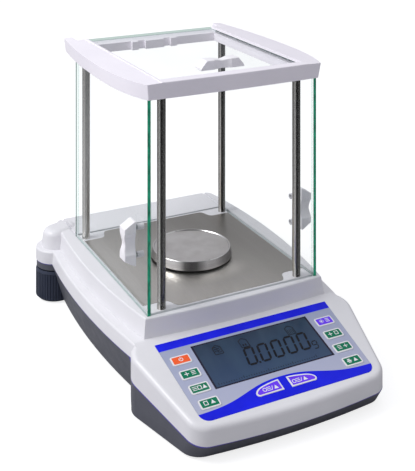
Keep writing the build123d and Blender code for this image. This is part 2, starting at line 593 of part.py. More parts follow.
with BuildPart() as top_frame:
    add(tapered(frame_outline(FRAME_DRAFT), FRAME_Z, frame_outline(), FRAME_TOP))
    fillet(top_frame.faces().sort_by(Axis.Z)[-1].edges(), radius=FRAME_EDGE)
    # the side bars fall away outwards behind a narrow raised lip
    for side in (-1, 1):
        roof = Plane(origin=(side * LIP_X, 0, FRAME_TOP - LIP_HEIGHT), x_dir=(0, 1, 0),
                     z_dir=(side * ROOF_FALL, 0, 1))
        with BuildSketch(roof):
            with Locations((0, -side * 50)):
                Rectangle(400, 100)
        extrude(amount=20, mode=Mode.SUBTRACT)
    # opening under the lid, open at the rear above the cross bar
    add(block(-OPENING_X, OPENING_X, OPENING_FRONT, FRAME_REAR + 5, BAR_TOP, FRAME_TOP + 1),
        mode=Mode.SUBTRACT)
    add(block(-OPENING_X, OPENING_X, OPENING_FRONT, BAR_FRONT, FRAME_Z - 1, BAR_TOP), mode=Mode.SUBTRACT)
    add(block(-NOTCH_X, NOTCH_X, NOTCH_Y, FRAME_REAR + 5, BAR_TOP, FRAME_TOP + 1), mode=Mode.SUBTRACT)
    add(block(-NOTCH_X, NOTCH_X, BAR_REAR, FRAME_REAR + 5, FRAME_Z - 1, FRAME_TOP + 1), mode=Mode.SUBTRACT)
    # lugs that carry the front pillars in the corners of the opening
    add(discs([p for p in PILLARS if p[1] < 0], LUG_R, FRAME_Z, BAR_TOP))
    # a middle block and two ribs on the cross bar
    add(block(-STOP_MIDDLE, STOP_MIDDLE, STOP_FRONT, BAR_FRONT + 1, FRAME_Z, BAR_TOP))
    for side in (-1, 1):
        x0, x1 = sorted((side * STOP_RIB[0], side * STOP_RIB[1]))
        add(block(x0, x1, STOP_FRONT, BAR_FRONT + 1, FRAME_Z, BAR_TOP))
    # slots for the lid, grooves for the doors and the fixed panes
    add(block(-LID_HALF - 0.3, LID_HALF + 0.3, LID_FRONT - END_SLACK, FRAME_REAR + 5,
              LID_LOW - SIDE_SLACK, LID_LOW + GLASS + SIDE_SLACK), mode=Mode.SUBTRACT)
    add(glass_grooves(FRAME_Z - 1, GROOVE_ROOF), mode=Mode.SUBTRACT)
    # tapped holes for the pillar spigots
    add(discs(PILLARS, SPIGOT_R + SLIP, FRAME_Z - 1, SPIGOT_TOP + 0.3), mode=Mode.SUBTRACT)
save("top_frame", top_frame.part)


def pane(mid_y):
    """Fixed glass pane held between the deck and the top frame."""
    with BuildPart() as glass:
        half = PANE_HALF - SIDE_SLACK
        add(block(-half, half, mid_y - GLASS / 2, mid_y + GLASS / 2, GROOVE_FLOOR, DOOR_HIGH))
        chamfer(glass.edges().filter_by(Axis.Z), length=ARRIS)
    return glass.part


save("front_glass", pane(FRONT_PANE_Y))
save("rear_glass", pane(REAR_PANE_Y))


# ---------------------------------------------------------------- handles and sliding glass
def handle_plane(name):
    """Base plane of a handle: x along its length, z away from the glass."""
    if name == "lid":
        return Plane(origin=(0, LID_HANDLE_Y, LID_LOW + GLASS), x_dir=(1, 0, 0), z_dir=(0, 0, 1))
    side = -1 if name == "left" else 1
    return Plane(origin=(side * DOOR_X, SIDE_HANDLE_Y, SIDE_HANDLE_Z), x_dir=(0, 0, 1), z_dir=(side, 0, 0))


BOSS_SPOTS = [(-HANDLE_BOSS_GAP / 2, 0), (HANDLE_BOSS_GAP / 2, 0)]


def handle(name):
    """Finger grip: sloping ends, hollowed top and waisted sides, screw holes in its base."""
    base = handle_plane(name)
    across = Plane(origin=base.origin, x_dir=base.x_dir, z_dir=-base.y_dir)
    length, raised_length, height = LID_HANDLE if name == "lid" else SIDE_HANDLE
    half, top = length / 2, raised_length / 2
    with BuildPart() as grip:
        with BuildSketch(across):
            with BuildLine():
                Polyline((-HOLLOW_HALF, height), (-top, height), (-half, HANDLE_LIP), (-half, 0),
                         (half, 0), (half, HANDLE_LIP), (top, height), (HOLLOW_HALF, height))
                Spline((-HOLLOW_HALF, height), (0, height - HANDLE_DIP), (HOLLOW_HALF, height),
                       tangents=[(1, 0), (1, 0)])
            make_face()
        extrude(amount=HANDLE_WIDTH / 2, both=True)
        for edge in (-1, 1):
            with BuildSketch(base):
                with Locations((0, edge * (HANDLE_WIDTH / 2 + WAIST_R - HANDLE_WAIST))):
                    Circle(WAIST_R)
            extrude(amount=height + 1, mode=Mode.SUBTRACT)
        outer_edges = [e for e in grip.edges() if (e.center() - base.origin).dot(base.z_dir) > 1.0]
        fillet(outer_edges, radius=HANDLE_EDGE)
        if name != "lid":
            with BuildSketch(base):
                with Locations(*BOSS_SPOTS):
                    Circle(SCREW_R + SLIP)
            extrude(amount=CAP_SCREW_REACH + 1, mode=Mode.SUBTRACT)
    return grip.part


def handle_bosses(name):
    """Two hollow caps on the inner face of the glass that take the handle's screws."""
    inner = handle_plane(name).offset(-GLASS)
    with BuildPart() as caps:
        with BuildSketch(inner):
            with Locations(*BOSS_SPOTS):
                Circle(CAP_R)
                Circle(SCREW_R + 2 * SLIP, mode=Mode.SUBTRACT)
        extrude(amount=-CAP_FLOOR)
        with BuildSketch(inner.offset(-CAP_FLOOR)):
            with Locations(*BOSS_SPOTS):
                Circle(CAP_R)
                Circle(CAP_BORE_R, mode=Mode.SUBTRACT)
        extrude(amount=CAP_FLOOR - CAP_LENGTH)
    return caps.part


def handle_screws(name):
    """Pan-head screws through the caps and the glass into the handle."""
    seat = handle_plane(name).offset(-GLASS - CAP_FLOOR)
    with BuildPart() as screws:
        with BuildSketch(seat):
            with Locations(*BOSS_SPOTS):
                Circle(CAP_SCREW_HEAD_R)
        extrude(amount=-CAP_SCREW_HEAD)
        with BuildSketch(seat):
            with Locations(*BOSS_SPOTS):
                Circle(SCREW_R)
        extrude(amount=CAP_FLOOR + GLASS + CAP_SCREW_REACH)
    return screws.part


def sliding_glass(name):
    """Side door with two holes for its handle, or the lid, whose handle is bonded on."""
    if name == "lid":
        blank = block(-LID_HALF, LID_HALF, LID_FRONT, LID_REAR, LID_LOW, LID_LOW + GLASS)
    else:
        side = -1 if name == "left" else 1
        x0, x1 = sorted((side * DOOR_X, side * (DOOR_X - GLASS)))
        blank = block(x0, x1, DOOR_FRONT, DOOR_REAR, DOOR_LOW, DOOR_HIGH)
    with BuildPart() as glass:
        add(blank)
        chamfer(glass.edges().filter_by(Axis.X if name == "lid" else Axis.Z), length=ARRIS)
        if name != "lid":
            with BuildSketch(handle_plane(name)):
                with Locations(*BOSS_SPOTS):
                    Circle(SCREW_R + 0.3)
            extrude(amount=-GLASS - 1, mode=Mode.SUBTRACT)
    return glass.part


for name in ("left", "right", "lid"):
    panel_name = "lid_glass" if name == "lid" else f"{name}_door_glass"
    save(panel_name, sliding_glass(name))
    save(f"{name}_handle", handle(name))
    if name != "lid":
        save(f"{name}_handle_bosses", handle_bosses(name))
        save(f"{name}_handle_screws", handle_screws(name))


# ---------------------------------------------------------------- floor plate, pan and its carrier
with BuildPart() as floor_plate:
    add(prism(plate_outline(), PLATE_Z, PLATE_Z + PLATE_THICK))
    add(discs([(0, 0)], PLATE_HOLE_R, PLATE_Z - 1, PLATE_Z + 2), mode=Mode.SUBTRACT)
save("floor_plate", floor_plate.part)

with BuildPart() as pan:
    with BuildSketch(Plane.XZ):
        with BuildLine():
            Polyline((0, PAN_FLOOR), (PAN_R - 2.2, PAN_FLOOR), (PAN_R - 1.6, PAN_TOP),
                     (PAN_R - 0.4, PAN_TOP), (PAN_R, PAN_TOP - 0.5), (PAN_R + 1.2, PAN_LOW),
                     (PAN_R + 0.2, PAN_LOW),
                     (PAN_R - 1.0, PAN_UNDER), (0, PAN_UNDER), close=True)
        make_face()
    revolve(axis=Axis.Z)
    # two small notches across the rim, front and rear
    for side in (-1, 1):
        y0, y1 = sorted((side * PAN_NOTCH[1], side * PAN_NOTCH[2]))
        add(block(-PAN_NOTCH[0], PAN_NOTCH[0], y0, y1, PAN_FLOOR, PAN_TOP + 1), mode=Mode.SUBTRACT)
save("pan", pan.part)

with BuildPart() as pan_carrier:
    with BuildSketch(Plane.XZ):
        with BuildLine():
            Polyline((STEM_R, CARRIER_LOW), (PAN_R - 1.6, CARRIER_LOW), (PAN_R - 1.6, CARRIER_LOW + 1.6),
                     (PAN_R - 4, CARRIER_LOW + 3), (12, CARRIER_LOW + 3), (9, PAN_UNDER), (0, PAN_UNDER),
                     (0, CARRIER_BORE_TOP), (STEM_R, CARRIER_BORE_TOP), close=True)
        make_face()
    revolve(axis=Axis.Z)
save("pan_carrier", pan_carrier.part)


# ---------------------------------------------------------------- weighing cell
with BuildPart() as cell_base:
    add(block(-CELL_HALF, CELL_HALF, CELL_FRONT, CELL_REAR, CELL_Z, CELL_Z + CELL_FLOOR))
    add(block(-CELL_HALF, CELL_HALF, CELL_REAR - CELL_WALL, CELL_REAR, CELL_Z + CELL_FLOOR - 1, CELL_TOP))
    chamfer(cell_base.edges().filter_by(Axis.Z), length=2)
    # forked post of the lever pivot
    for side in (-1, 1):
        x0, x1 = sorted((side * FORK_IN, side * FORK_OUT))
        add(block(x0, x1, -FORK_HALF, FORK_HALF, CELL_Z + CELL_FLOOR - 1, PIVOT_Z + 5))
    add(block(-FORK_OUT - 1, FORK_OUT + 1, -FORK_HALF, FORK_HALF,
              CELL_Z + CELL_FLOOR - 1, CELL_Z + CELL_FLOOR + 4))
    with BuildSketch(Plane.YZ.offset(-FORK_OUT - 5)):
        with Locations((0, PIVOT_Z)):
            Circle(PIN_R)
    extrude(amount=2 * (FORK_OUT + 5), mode=Mode.SUBTRACT)
    add(discs(CELL_SCREWS, CELL_SCREW_R, CELL_Z - 1, CELL_Z + 7), mode=Mode.SUBTRACT)
save("cell_base", cell_base.part)

with BuildPart() as cell_screws:
    add(discs(CELL_SCREWS, CELL_SCREW_R + 1.6, CONSOLE_FLOOR_Z - 1.4, SKIRT_Z))
    add(discs(CELL_SCREWS, CELL_SCREW_R - SLIP, SKIRT_Z, CELL_Z + 6))
save("cell_screws", cell_screws.part)

with BuildPart() as magnet_pot:
    add(discs([(0, COIL_Y)], POT_R, CELL_Z + CELL_FLOOR, POT_TOP))
    add(discs([(0, COIL_Y)], POT_BORE_R, COIL_LOW - 4, POT_TOP + 1), mode=Mode.SUBTRACT)
    add(discs([(0, COIL_Y)], POT_CORE_R, COIL_LOW - 5, POT_TOP - 1))
save("magnet_pot", magnet_pot.part)

with BuildPart() as lever_pivot:
    with BuildSketch(Plane.YZ.offset(-FORK_OUT)):
        with Locations((0, PIVOT_Z)):
            Circle(PIN_R)
    extrude(amount=2 * FORK_OUT)
save("lever_pivot", lever_pivot.part)

with BuildPart() as lever_beam:
    add(block(-LEVER_HALF, LEVER_HALF, LEVER_FRONT, COIL_Y + 17,
              PIVOT_Z - LEVER_DEEP, PIVOT_Z + LEVER_DEEP))
    chamfer(lever_beam.edges().filter_by(Axis.Z), length=2)
    for hole_y in (-18, 12):
        add(discs([(0, hole_y)], 3, PIVOT_Z - 5, PIVOT_Z + 5), mode=Mode.SUBTRACT)
    with BuildSketch(Plane.YZ.offset(-LEVER_HALF - 3)):
        with Locations((0, PIVOT_Z)):
            Circle(PIN_R + RUNNING_GAP)
    extrude(amount=2 * (LEVER_HALF + 3), mode=Mode.SUBTRACT)
save("lever_beam", lever_beam.part)

with BuildPart() as coil:
    add(discs([(0, COIL_Y)], COIL_R, COIL_LOW, PIVOT_Z - LEVER_DEEP))
    add(discs([(0, COIL_Y)], COIL_BORE_R, COIL_LOW - 1, PIVOT_Z), mode=Mode.SUBTRACT)
save("coil", coil.part)

with BuildPart() as load_receiver:
    add(block(-26, 26, RECEIVER_FRONT, RECEIVER_BACK, 18, CELL_TOP))
    add(block(-8, 8, RECEIVER_FRONT, 8, CELL_TOP - 3, CELL_TOP + 2))
    add(discs([(0, 0)], STEM_R, CELL_TOP + 1, CARRIER_BORE_TOP))
    chamfer(load_receiver.faces().sort_by(Axis.Z)[-1].edges(), length=0.6)
save("load_receiver", load_receiver.part)

with BuildPart() as parallel_guides:
    for level in (20, 52):
        for side in (-1, 1):
            x0, x1 = sorted((side * 19, side * 25))
            add(block(x0, x1, RECEIVER_BACK + 0.6, CELL_REAR - CELL_WALL - 0.4, level, level + 1))
save("parallel_guides", parallel_guides.part)

with BuildPart() as position_sensor:
    add(block(-10, 10, COIL_Y + 17.6, COIL_Y + 19.2, PIVOT_Z - 8, PIVOT_Z + 8))
    for side in (-1, 1):
        x0, x1 = sorted((side * 8.2, side * 10))
        add(block(x0, x1, COIL_Y + 13, COIL_Y + 18, PIVOT_Z - 4, PIVOT_Z + 4))
save("position_sensor", position_sensor.part)


# ---------------------------------------------------------------- electronics
def board(x0, x1, y0, y1, z, parts):
    """Circuit board with its taller components standing on it."""
    with BuildPart() as pcb:
        top = z + BOARD_THICK
        add(block(x0, x1, y0, y1, z, top))
        for cx, cy, w, d, h in parts:
            add(block(cx - w / 2, cx + w / 2, cy - d / 2, cy + d / 2, top, top + h))
    return pcb.part


MAIN_BOARD_PARTS = [(-56, -20, 14, 14, 2), (-50, 10, 10, 6, 3), (-62, 26, 8, 8, 11),
                    (-48, 30, 8, 8, 11), (-66, -4, 6, 10, 4)]  # centre, width, depth, height
save("main_board", board(-74, -38, -40, 44, 12, MAIN_BOARD_PARTS))


def panel_slab(sketch, low, high):
    """Flat piece parallel to the panel, between two depths measured from the panel face."""
    with BuildPart() as slab:
        with BuildSketch(PANEL.offset(low)):
            add(sketch)
        extrude(amount=high - low)
    return slab.part


def rectangle_at(x, v, w, h):
    """Rectangle centred at a point of the panel."""
    with BuildSketch() as rect:
        with Locations((x, v)):
            Rectangle(w, h)
    return rect.sketch


SWITCH_SPOTS = KEY_SPOTS + [(side * WING_SWITCH[0], WING_SWITCH[1]) for side in (-1, 1)]
KEY_FLOOR = -SHELL - FLANGE_THICK  # underside of the key flanges

save("display_board", panel_slab(rectangle_at(0, -43, 172, 84), BOARD_DEPTH - BOARD_THICK, BOARD_DEPTH))
save("lcd_module", panel_slab(rectangle_at(0, LCD_V, LCD_W + 2 * LCD_MARGIN, LCD_H + 2 * LCD_MARGIN),
                              BOARD_DEPTH, -SHELL))
save("lcd_window", panel_slab(rectangle_at(0, LCD_V, LCD_W - 0.1, LCD_H - 0.1), -OVERLAY_BED, OVERLAY_TOP))

with BuildPart() as tact_switches:
    with BuildSketch(PANEL.offset(BOARD_DEPTH)):
        with Locations(*SWITCH_SPOTS):
            Rectangle(SWITCH_SIDE, SWITCH_SIDE)
    extrude(amount=SWITCH_BODY)
    with BuildSketch(PANEL.offset(BOARD_DEPTH + SWITCH_BODY)):
        with Locations(*SWITCH_SPOTS):
            Circle(PLUNGER_R)
    extrude(amount=KEY_FLOOR - KEY_TRAVEL - 0.1 - BOARD_DEPTH - SWITCH_BODY)
save("tact_switches", tact_switches.part)

with BuildPart() as keypad_overlay:
    with BuildSketch(PANEL.offset(-OVERLAY_BED)):
        add(overlay_outline())
        add(key_holes(), mode=Mode.SUBTRACT)
        with Locations((0, LCD_V)):
            Rectangle(LCD_W, LCD_H, mode=Mode.SUBTRACT)
    extrude(amount=OVERLAY_BED + OVERLAY_TOP)
save("keypad_overlay", keypad_overlay.part)


def key(cap_sketch, flange_sketch):
    """Key cap through the panel with a retaining flange beneath it."""
    with BuildPart() as cap:
        with BuildSketch(PANEL.offset(-SHELL)):
            add(cap_sketch)
        extrude(amount=SHELL + KEY_PROUD)
        fillet(cap.faces().sort_by(Axis(PANEL.origin, PANEL.z_dir))[-1].edges(), radius=KEY_EDGE)
        with BuildSketch(PANEL.offset(-SHELL)):
            add(flange_sketch)
        extrude(amount=-FLANGE_THICK)
    return cap.part


def square_key(spot, grow=0.0):
    """Outline of one square key, or of its flange when grown."""
    with BuildSketch() as outline:
        with Locations(spot):
            RectangleRounded(KEY_W + 2 * grow, KEY_H + 2 * grow, KEY_CORNER)
    return outline.sketch


for index, spot in enumerate(KEY_SPOTS):
    side_name = "left" if spot[0] < 0 else "right"
    save(f"key_{side_name}_{index % KEY_ROWS + 1}", key(square_key(spot), square_key(spot, FLANGE)))
for side_name, side in (("left", -1), ("right", 1)):
    save(f"key_wing_{side_name}", key(wing_outline(side), wing_outline(side, FLANGE)))


# ---------------------------------------------------------------- rear sockets and spirit level
with BuildPart() as dc_jack:
    with BuildSketch(REAR_WALL):
        with Locations((JACK_X, 0)):
            Circle(JACK_R + 1.5)
            Circle(JACK_BORE_R, mode=Mode.SUBTRACT)
    extrude(amount=BEZEL)
    with BuildSketch(REAR_WALL):
        with Locations((JACK_X, 0)):
            Circle(JACK_R - 0.1)
            Circle(JACK_BORE_R, mode=Mode.SUBTRACT)
    extrude(amount=-JACK_DEEP)
    with BuildSketch(REAR_WALL.offset(-JACK_DEEP)):
        with Locations((JACK_X, 0)):
            Circle(JACK_R - 0.1)
    extrude(amount=-1.5)
    with BuildSketch(REAR_WALL.offset(-JACK_DEEP)):
        with Locations((JACK_X, 0)):
            Circle(JACK_PIN_R)
    extrude(amount=JACK_DEEP - 2)
save("dc_jack", dc_jack.part)

with BuildPart() as serial_port:
    with BuildSketch(REAR_WALL):
        with Locations((PORT_X, 0)):
            Rectangle(PORT_W + 11, PORT_H + 3)
            Rectangle(PORT_W - PORT_RIM, PORT_H - PORT_RIM, mode=Mode.SUBTRACT)
    extrude(amount=BEZEL)
    with BuildSketch(REAR_WALL):
        with Locations((PORT_X, 0)):
            Rectangle(PORT_W - 0.4, PORT_H - 0.4)
            Rectangle(PORT_W - PORT_RIM, PORT_H - PORT_RIM, mode=Mode.SUBTRACT)
    extrude(amount=-PORT_DEEP)
    with BuildSketch(REAR_WALL.offset(4 - PORT_DEEP)):
        with Locations((PORT_X, 0)):
            Rectangle(PORT_W - PORT_RIM, PORT_H - PORT_RIM)
    extrude(amount=-4)
save("serial_port", serial_port.part)

with BuildPart() as level_cup:
    add(discs([LEVEL_AT], LEVEL_R, LEDGE_Z - LEVEL_DEEP, LEDGE_Z + 0.8))
    add(discs([LEVEL_AT], LEVEL_R - 1.2, LEDGE_Z - LEVEL_DEEP + 1, LEDGE_Z + 2), mode=Mode.SUBTRACT)
save("level_cup", level_cup.part)

with BuildPart() as level_vial:
    add(discs([LEVEL_AT], LEVEL_R - 1.25, LEDGE_Z - LEVEL_DEEP + 1, LEDGE_Z + 0.9))
    fillet(level_vial.faces().sort_by(Axis.Z)[-1].edges(), radius=0.8)
save("level_vial", level_vial.part)
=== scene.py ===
"""Looks of the analytical balance: materials for every CAD node, the printed artwork and the studio."""
import json
import math

import bpy
from mathutils import Euler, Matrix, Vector


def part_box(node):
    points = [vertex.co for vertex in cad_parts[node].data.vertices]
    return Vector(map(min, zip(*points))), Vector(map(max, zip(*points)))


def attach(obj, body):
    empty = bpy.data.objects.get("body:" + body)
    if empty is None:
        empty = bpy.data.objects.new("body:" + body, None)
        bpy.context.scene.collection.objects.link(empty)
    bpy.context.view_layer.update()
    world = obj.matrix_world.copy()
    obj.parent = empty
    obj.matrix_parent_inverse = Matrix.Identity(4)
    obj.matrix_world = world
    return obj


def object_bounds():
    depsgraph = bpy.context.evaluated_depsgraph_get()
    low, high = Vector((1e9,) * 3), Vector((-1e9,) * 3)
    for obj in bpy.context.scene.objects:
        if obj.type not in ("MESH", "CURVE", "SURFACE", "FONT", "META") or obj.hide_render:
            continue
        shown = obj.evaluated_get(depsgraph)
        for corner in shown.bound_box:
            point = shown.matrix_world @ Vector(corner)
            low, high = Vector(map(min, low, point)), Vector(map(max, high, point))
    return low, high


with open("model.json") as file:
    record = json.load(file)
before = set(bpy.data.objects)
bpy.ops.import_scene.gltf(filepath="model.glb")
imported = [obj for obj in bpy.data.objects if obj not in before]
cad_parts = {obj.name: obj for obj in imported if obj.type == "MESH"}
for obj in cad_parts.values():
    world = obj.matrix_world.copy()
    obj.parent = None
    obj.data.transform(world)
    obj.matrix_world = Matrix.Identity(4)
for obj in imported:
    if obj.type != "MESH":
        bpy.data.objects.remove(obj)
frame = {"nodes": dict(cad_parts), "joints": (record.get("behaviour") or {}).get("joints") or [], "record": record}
cad_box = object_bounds()
nodes = frame["nodes"]
joints = {joint["name"]: joint for joint in frame["joints"]}
bodies = frame["record"]["behaviour"]["bodies"]
body_of_node = {node: body for body, members in bodies.items() for node in members}

MM = 0.001
SEAM_SLOPE = 0.174  # fall of the console's parting line towards the user
SEAM_EDGE_Y, SEAM_EDGE_Z = -114 * MM, 30 * MM  # a point on that line
SKIRT_PARTING_Z = 42 * MM  # level parting line of the skirts
CONSOLE_BACK = -96 * MM  # the console's parting line starts here, and the skirts' one ends
FAR_OFF = 1.0  # farther out than any part of the balance
RIGHT = Vector((1, 0, 0))
PANEL_NORMAL = Vector(joints["key_left_1_press"]["axis"]).normalized()
PANEL_UP = PANEL_NORMAL.cross(RIGHT)  # runs up the sloping panel, away from the user


# ---------------------------------------------------------------- node helpers
def wire(tree, value, socket):
    """Feeds a socket from another socket, or sets its value."""
    if isinstance(value, bpy.types.NodeSocket):
        tree.links.new(value, socket)
    elif socket.type == "RGBA" and len(value) == 3:
        socket.default_value = (*value, 1.0)
    else:
        socket.default_value = value


def put(tree, kind, settings=None, **inputs):
    """Adds a shader node. Inputs are named with _ for a space."""
    made = tree.nodes.new("ShaderNode" + kind)
    for key, value in (settings or {}).items():
        setattr(made, key, value)
    for key, value in inputs.items():
        wire(tree, value, made.inputs[key.replace("_", " ")])
    return made


def maths(tree, operation, *values, clamp=False):
    made = put(tree, "Math", {"operation": operation, "use_clamp": clamp})
    for socket, value in zip(made.inputs, values):
        wire(tree, value, socket)
    return made.outputs[0]


def vector_maths(tree, operation, *values):
    made = put(tree, "VectorMath", {"operation": operation})
    for socket, value in zip(made.inputs, values):
        wire(tree, value, socket)
    return made.outputs[1] if operation in ("LENGTH", "DOT_PRODUCT") else made.outputs[0]


def scaled(tree, vector, factor):
    made = put(tree, "VectorMath", {"operation": "SCALE"}, Scale=factor)
    wire(tree, vector, made.inputs[0])
    return made.outputs[0]


def distance_from_axis(tree, x, y):
    """Distance from the upright axis through the middle of the pan."""
    return vector_maths(tree, "LENGTH", put(tree, "CombineXYZ", X=x, Y=y).outputs[0])


def mix_colour(tree, share, first, second):
    made = put(tree, "Mix", {"data_type": "RGBA"})
    for index, value in ((0, share), (6, first), (7, second)):
        wire(tree, value, made.inputs[index])
    return made.outputs[2]


def remap(tree, value, low, high, to_low, to_high, smooth=False):
    made = put(tree, "MapRange", {"interpolation_type": "SMOOTHSTEP" if smooth else "LINEAR"})
    for index, item in enumerate((value, low, high, to_low, to_high)):
        wire(tree, item, made.inputs[index])
    return made.outputs[0]


def ramp(tree, value, stops):
    """Colour ramp from (position, grey or colour) stops."""
    made = put(tree, "ValToRGB", Fac=value)
    band = made.color_ramp.elements
    while len(band) < len(stops):
        band.new(0.5)
    for element, (position, colour) in zip(band, stops):
        element.position = position
        element.color = (*colour, 1) if isinstance(colour, tuple) else (colour, colour, colour, 1)
    return made.outputs[0]


def place(tree, stretch=(1, 1, 1)):
    """Row-frame position in metres, stretched per axis. It stays put in a body that moves."""
    coords = put(tree, "TexCoord").outputs["Object"]
    return vector_maths(tree, "MULTIPLY", coords, stretch)


def axes(tree):
    made = put(tree, "SeparateXYZ", Vector=put(tree, "TexCoord").outputs["Object"])
    return made.outputs


def noise(tree, size, detail=2.0, stretch=(1, 1, 1), rough=0.5):
    """Noise whose features measure about size metres."""
    made = put(tree, "TexNoise", Vector=place(tree, stretch), Scale=1 / size, Detail=detail, Roughness=rough)
    return made.outputs[0]


def start(name):
    material = bpy.data.materials.new(name)
    material.use_nodes = True
    tree = material.node_tree
    shader = tree.nodes["Principled BSDF"]
    return material, tree, shader


def shaded(tree, shader, colour, rough, height=None, depth=0.0, soft=0.0):
    """Wires colour, roughness, bump height and softened edges into the Principled shader."""
    wire(tree, colour, shader.inputs["Base Color"])
    wire(tree, rough, shader.inputs["Roughness"])
    normal = None
    if soft:
        normal = put(tree, "Bevel", {"samples": 4}, Radius=soft).outputs[0]
    if height is not None:
        bump = put(tree, "Bump", Height=height, Strength=1.0, Distance=depth)
        if normal is not None:
            tree.links.new(normal, bump.inputs["Normal"])
        normal = bump.outputs[0]
    if normal is not None:
        tree.links.new(normal, shader.inputs["Normal"])


# ---------------------------------------------------------------- materials
def moulded(name, colour, rough, grain=0.7 * MM, depth=0.012 * MM, coat=0.0, soft=0.5 * MM, tint=0.03):
    """Injection-moulded plastic: fine spark grain, faint flow clouds and slightly uneven gloss."""
    material, tree, shader = start(name)
    clouds = noise(tree, 60 * MM, 3)
    deep = tuple(c * (1 - tint) for c in colour)
    pale = tuple(min(1, c * (1 + tint)) for c in colour)
    tone = mix_colour(tree, remap(tree, clouds, 0.3, 0.7, 0, 1), deep, pale)
    pits = noise(tree, grain, 3)
    gloss = remap(tree, noise(tree, 9 * MM, 4), 0.3, 0.7, rough * 0.9, rough * 1.12)
    shaded(tree, shader, tone, gloss, pits, depth, soft)
    shader.inputs["Coat Weight"].default_value = coat
    shader.inputs["Coat Roughness"].default_value = 0.2
    return material, tree, shader, tone


def white_housing(name, colour):
    """Satin white ABS with a faint lilac cast."""
    return moulded(name, colour, 0.36, coat=0.1, soft=0.35 * MM)[0]


def dark_housing(name):
    """Dark blue-grey ABS with a coarser grain and a fine violet line along the parting seam."""
    material, tree, shader, tone = moulded(name, (0.082, 0.086, 0.108), 0.42, 1.1 * MM, 0.03 * MM, tint=0.05)
    _, y, z = axes(tree)
    fall = maths(tree, "MULTIPLY", SEAM_SLOPE, maths(tree, "SUBTRACT", y, SEAM_EDGE_Y))
    console_seam = maths(tree, "ADD", SEAM_EDGE_Z, fall)
    on_skirt = maths(tree, "GREATER_THAN", y, CONSOLE_BACK)
    seam = remap(tree, on_skirt, 0, 1, console_seam, SKIRT_PARTING_Z)
    depth = maths(tree, "SUBTRACT", seam, z)
    line = remap(tree, depth, 0.7 * MM, 1.2 * MM, 1, 0, smooth=True)
    tree.links.new(mix_colour(tree, line, tone, (0.08, 0.06, 0.42)), shader.inputs["Base Color"])
    return material


def ribbed_plastic(name):
    """Navy plastic of the levelling wheels."""
    return moulded(name, (0.022, 0.031, 0.060), 0.38, 0.8 * MM, 0.02 * MM)[0]


def brushed(name, colour, rough, stretch, streak=0.25 * MM, radial=None):
    """Brushed steel: streaks along the stretched axis in tone, gloss and relief.

    With radial, the gloss is drawn out round that axis."""
    material, tree, shader = start(name)
    shader.inputs["Metallic"].default_value = 1.0
    lines = noise(tree, streak, 3, stretch, 0.6)
    broad = noise(tree, 28 * MM, 3, stretch)
    dull, fair = tuple(c * 0.9 for c in colour), tuple(min(1, c * 1.1) for c in colour)
    tone = mix_colour(tree, remap(tree, lines, 0.35, 0.65, 0, 1), dull, fair)
    tone = mix_colour(tree, remap(tree, broad, 0.35, 0.65, 0, 0.5), tone, tuple(c * 0.86 for c in colour))
    wear = maths(tree, "ADD", maths(tree, "MULTIPLY", lines, 0.6), maths(tree, "MULTIPLY", broad, 0.4))
    gloss = remap(tree, wear, 0.3, 0.7, rough * 0.75, rough * 1.3)
    shaded(tree, shader, tone, gloss, lines, 0.004 * MM, 0.3 * MM)
    if radial:
        shader.inputs["Anisotropic"].default_value = 0.6
        tangent = put(tree, "Tangent", {"direction_type": "RADIAL", "axis": radial})
        tree.links.new(tangent.outputs[0], shader.inputs["Tangent"])
    return material


def camera_side(tree, normal):
    """How far a normal turns to the viewer's right, from -1 to 1."""
    across = put(tree, "VectorTransform", {"vector_type": "NORMAL", "convert_from": "WORLD",
                                           "convert_to": "CAMERA"}, Vector=normal)
    return put(tree, "SeparateXYZ", Vector=across.outputs[0]).outputs[0]


def painted_reflection_strips(tree, stops):
    """Painted reflection: grey ramp over the way a face turns to the viewer, from its left side to its right."""
    side = camera_side(tree, put(tree, "NewGeometry").outputs["Normal"])
    return ramp(tree, remap(tree, side, -1, 1, 0, 1), stops)


# painted reflection for the pillars and the pan: greys that stand in for what round steel mirrors, from its left
# side (0) to its right (1)
PILLAR_PAINTED_REFLECTION = [
    (0.0, 0.8), (0.10, 0.30), (0.20, 0.42), (0.30, 1.0), (0.38, 0.55), (0.46, 0.07),
    (0.60, 0.05), (0.74, 0.20), (0.88, 0.17), (1.0, 0.5)]
PAN_PAINTED_REFLECTION = [
    (0.0, 0.3), (0.11, 0.5), (0.17, 0.9), (0.24, 1.0), (0.31, 1.0), (0.37, 0.8), (0.43, 0.25),
    (0.50, 0.13), (0.57, 0.18), (0.63, 0.5), (0.70, 1.0), (0.80, 1.0), (0.88, 0.6), (1.0, 0.3)]
FAR_LEFT = 50 * MM, 150 * MM  # painted light: y minus x, from the near pillars to the far left one, which is painted the palest
PLATE_PAINTED_LIGHT = -95 * MM, 95 * MM  # painted light and shade: x + 0.6 y, from the painted bright left front of the plate to its painted dark right rear
PAN_RIM_PAINTED_REFLECTION = 41 * MM, 47 * MM, 66 * MM  # radii on the plate where the painted reflection of the pan's rim starts, peaks and ends


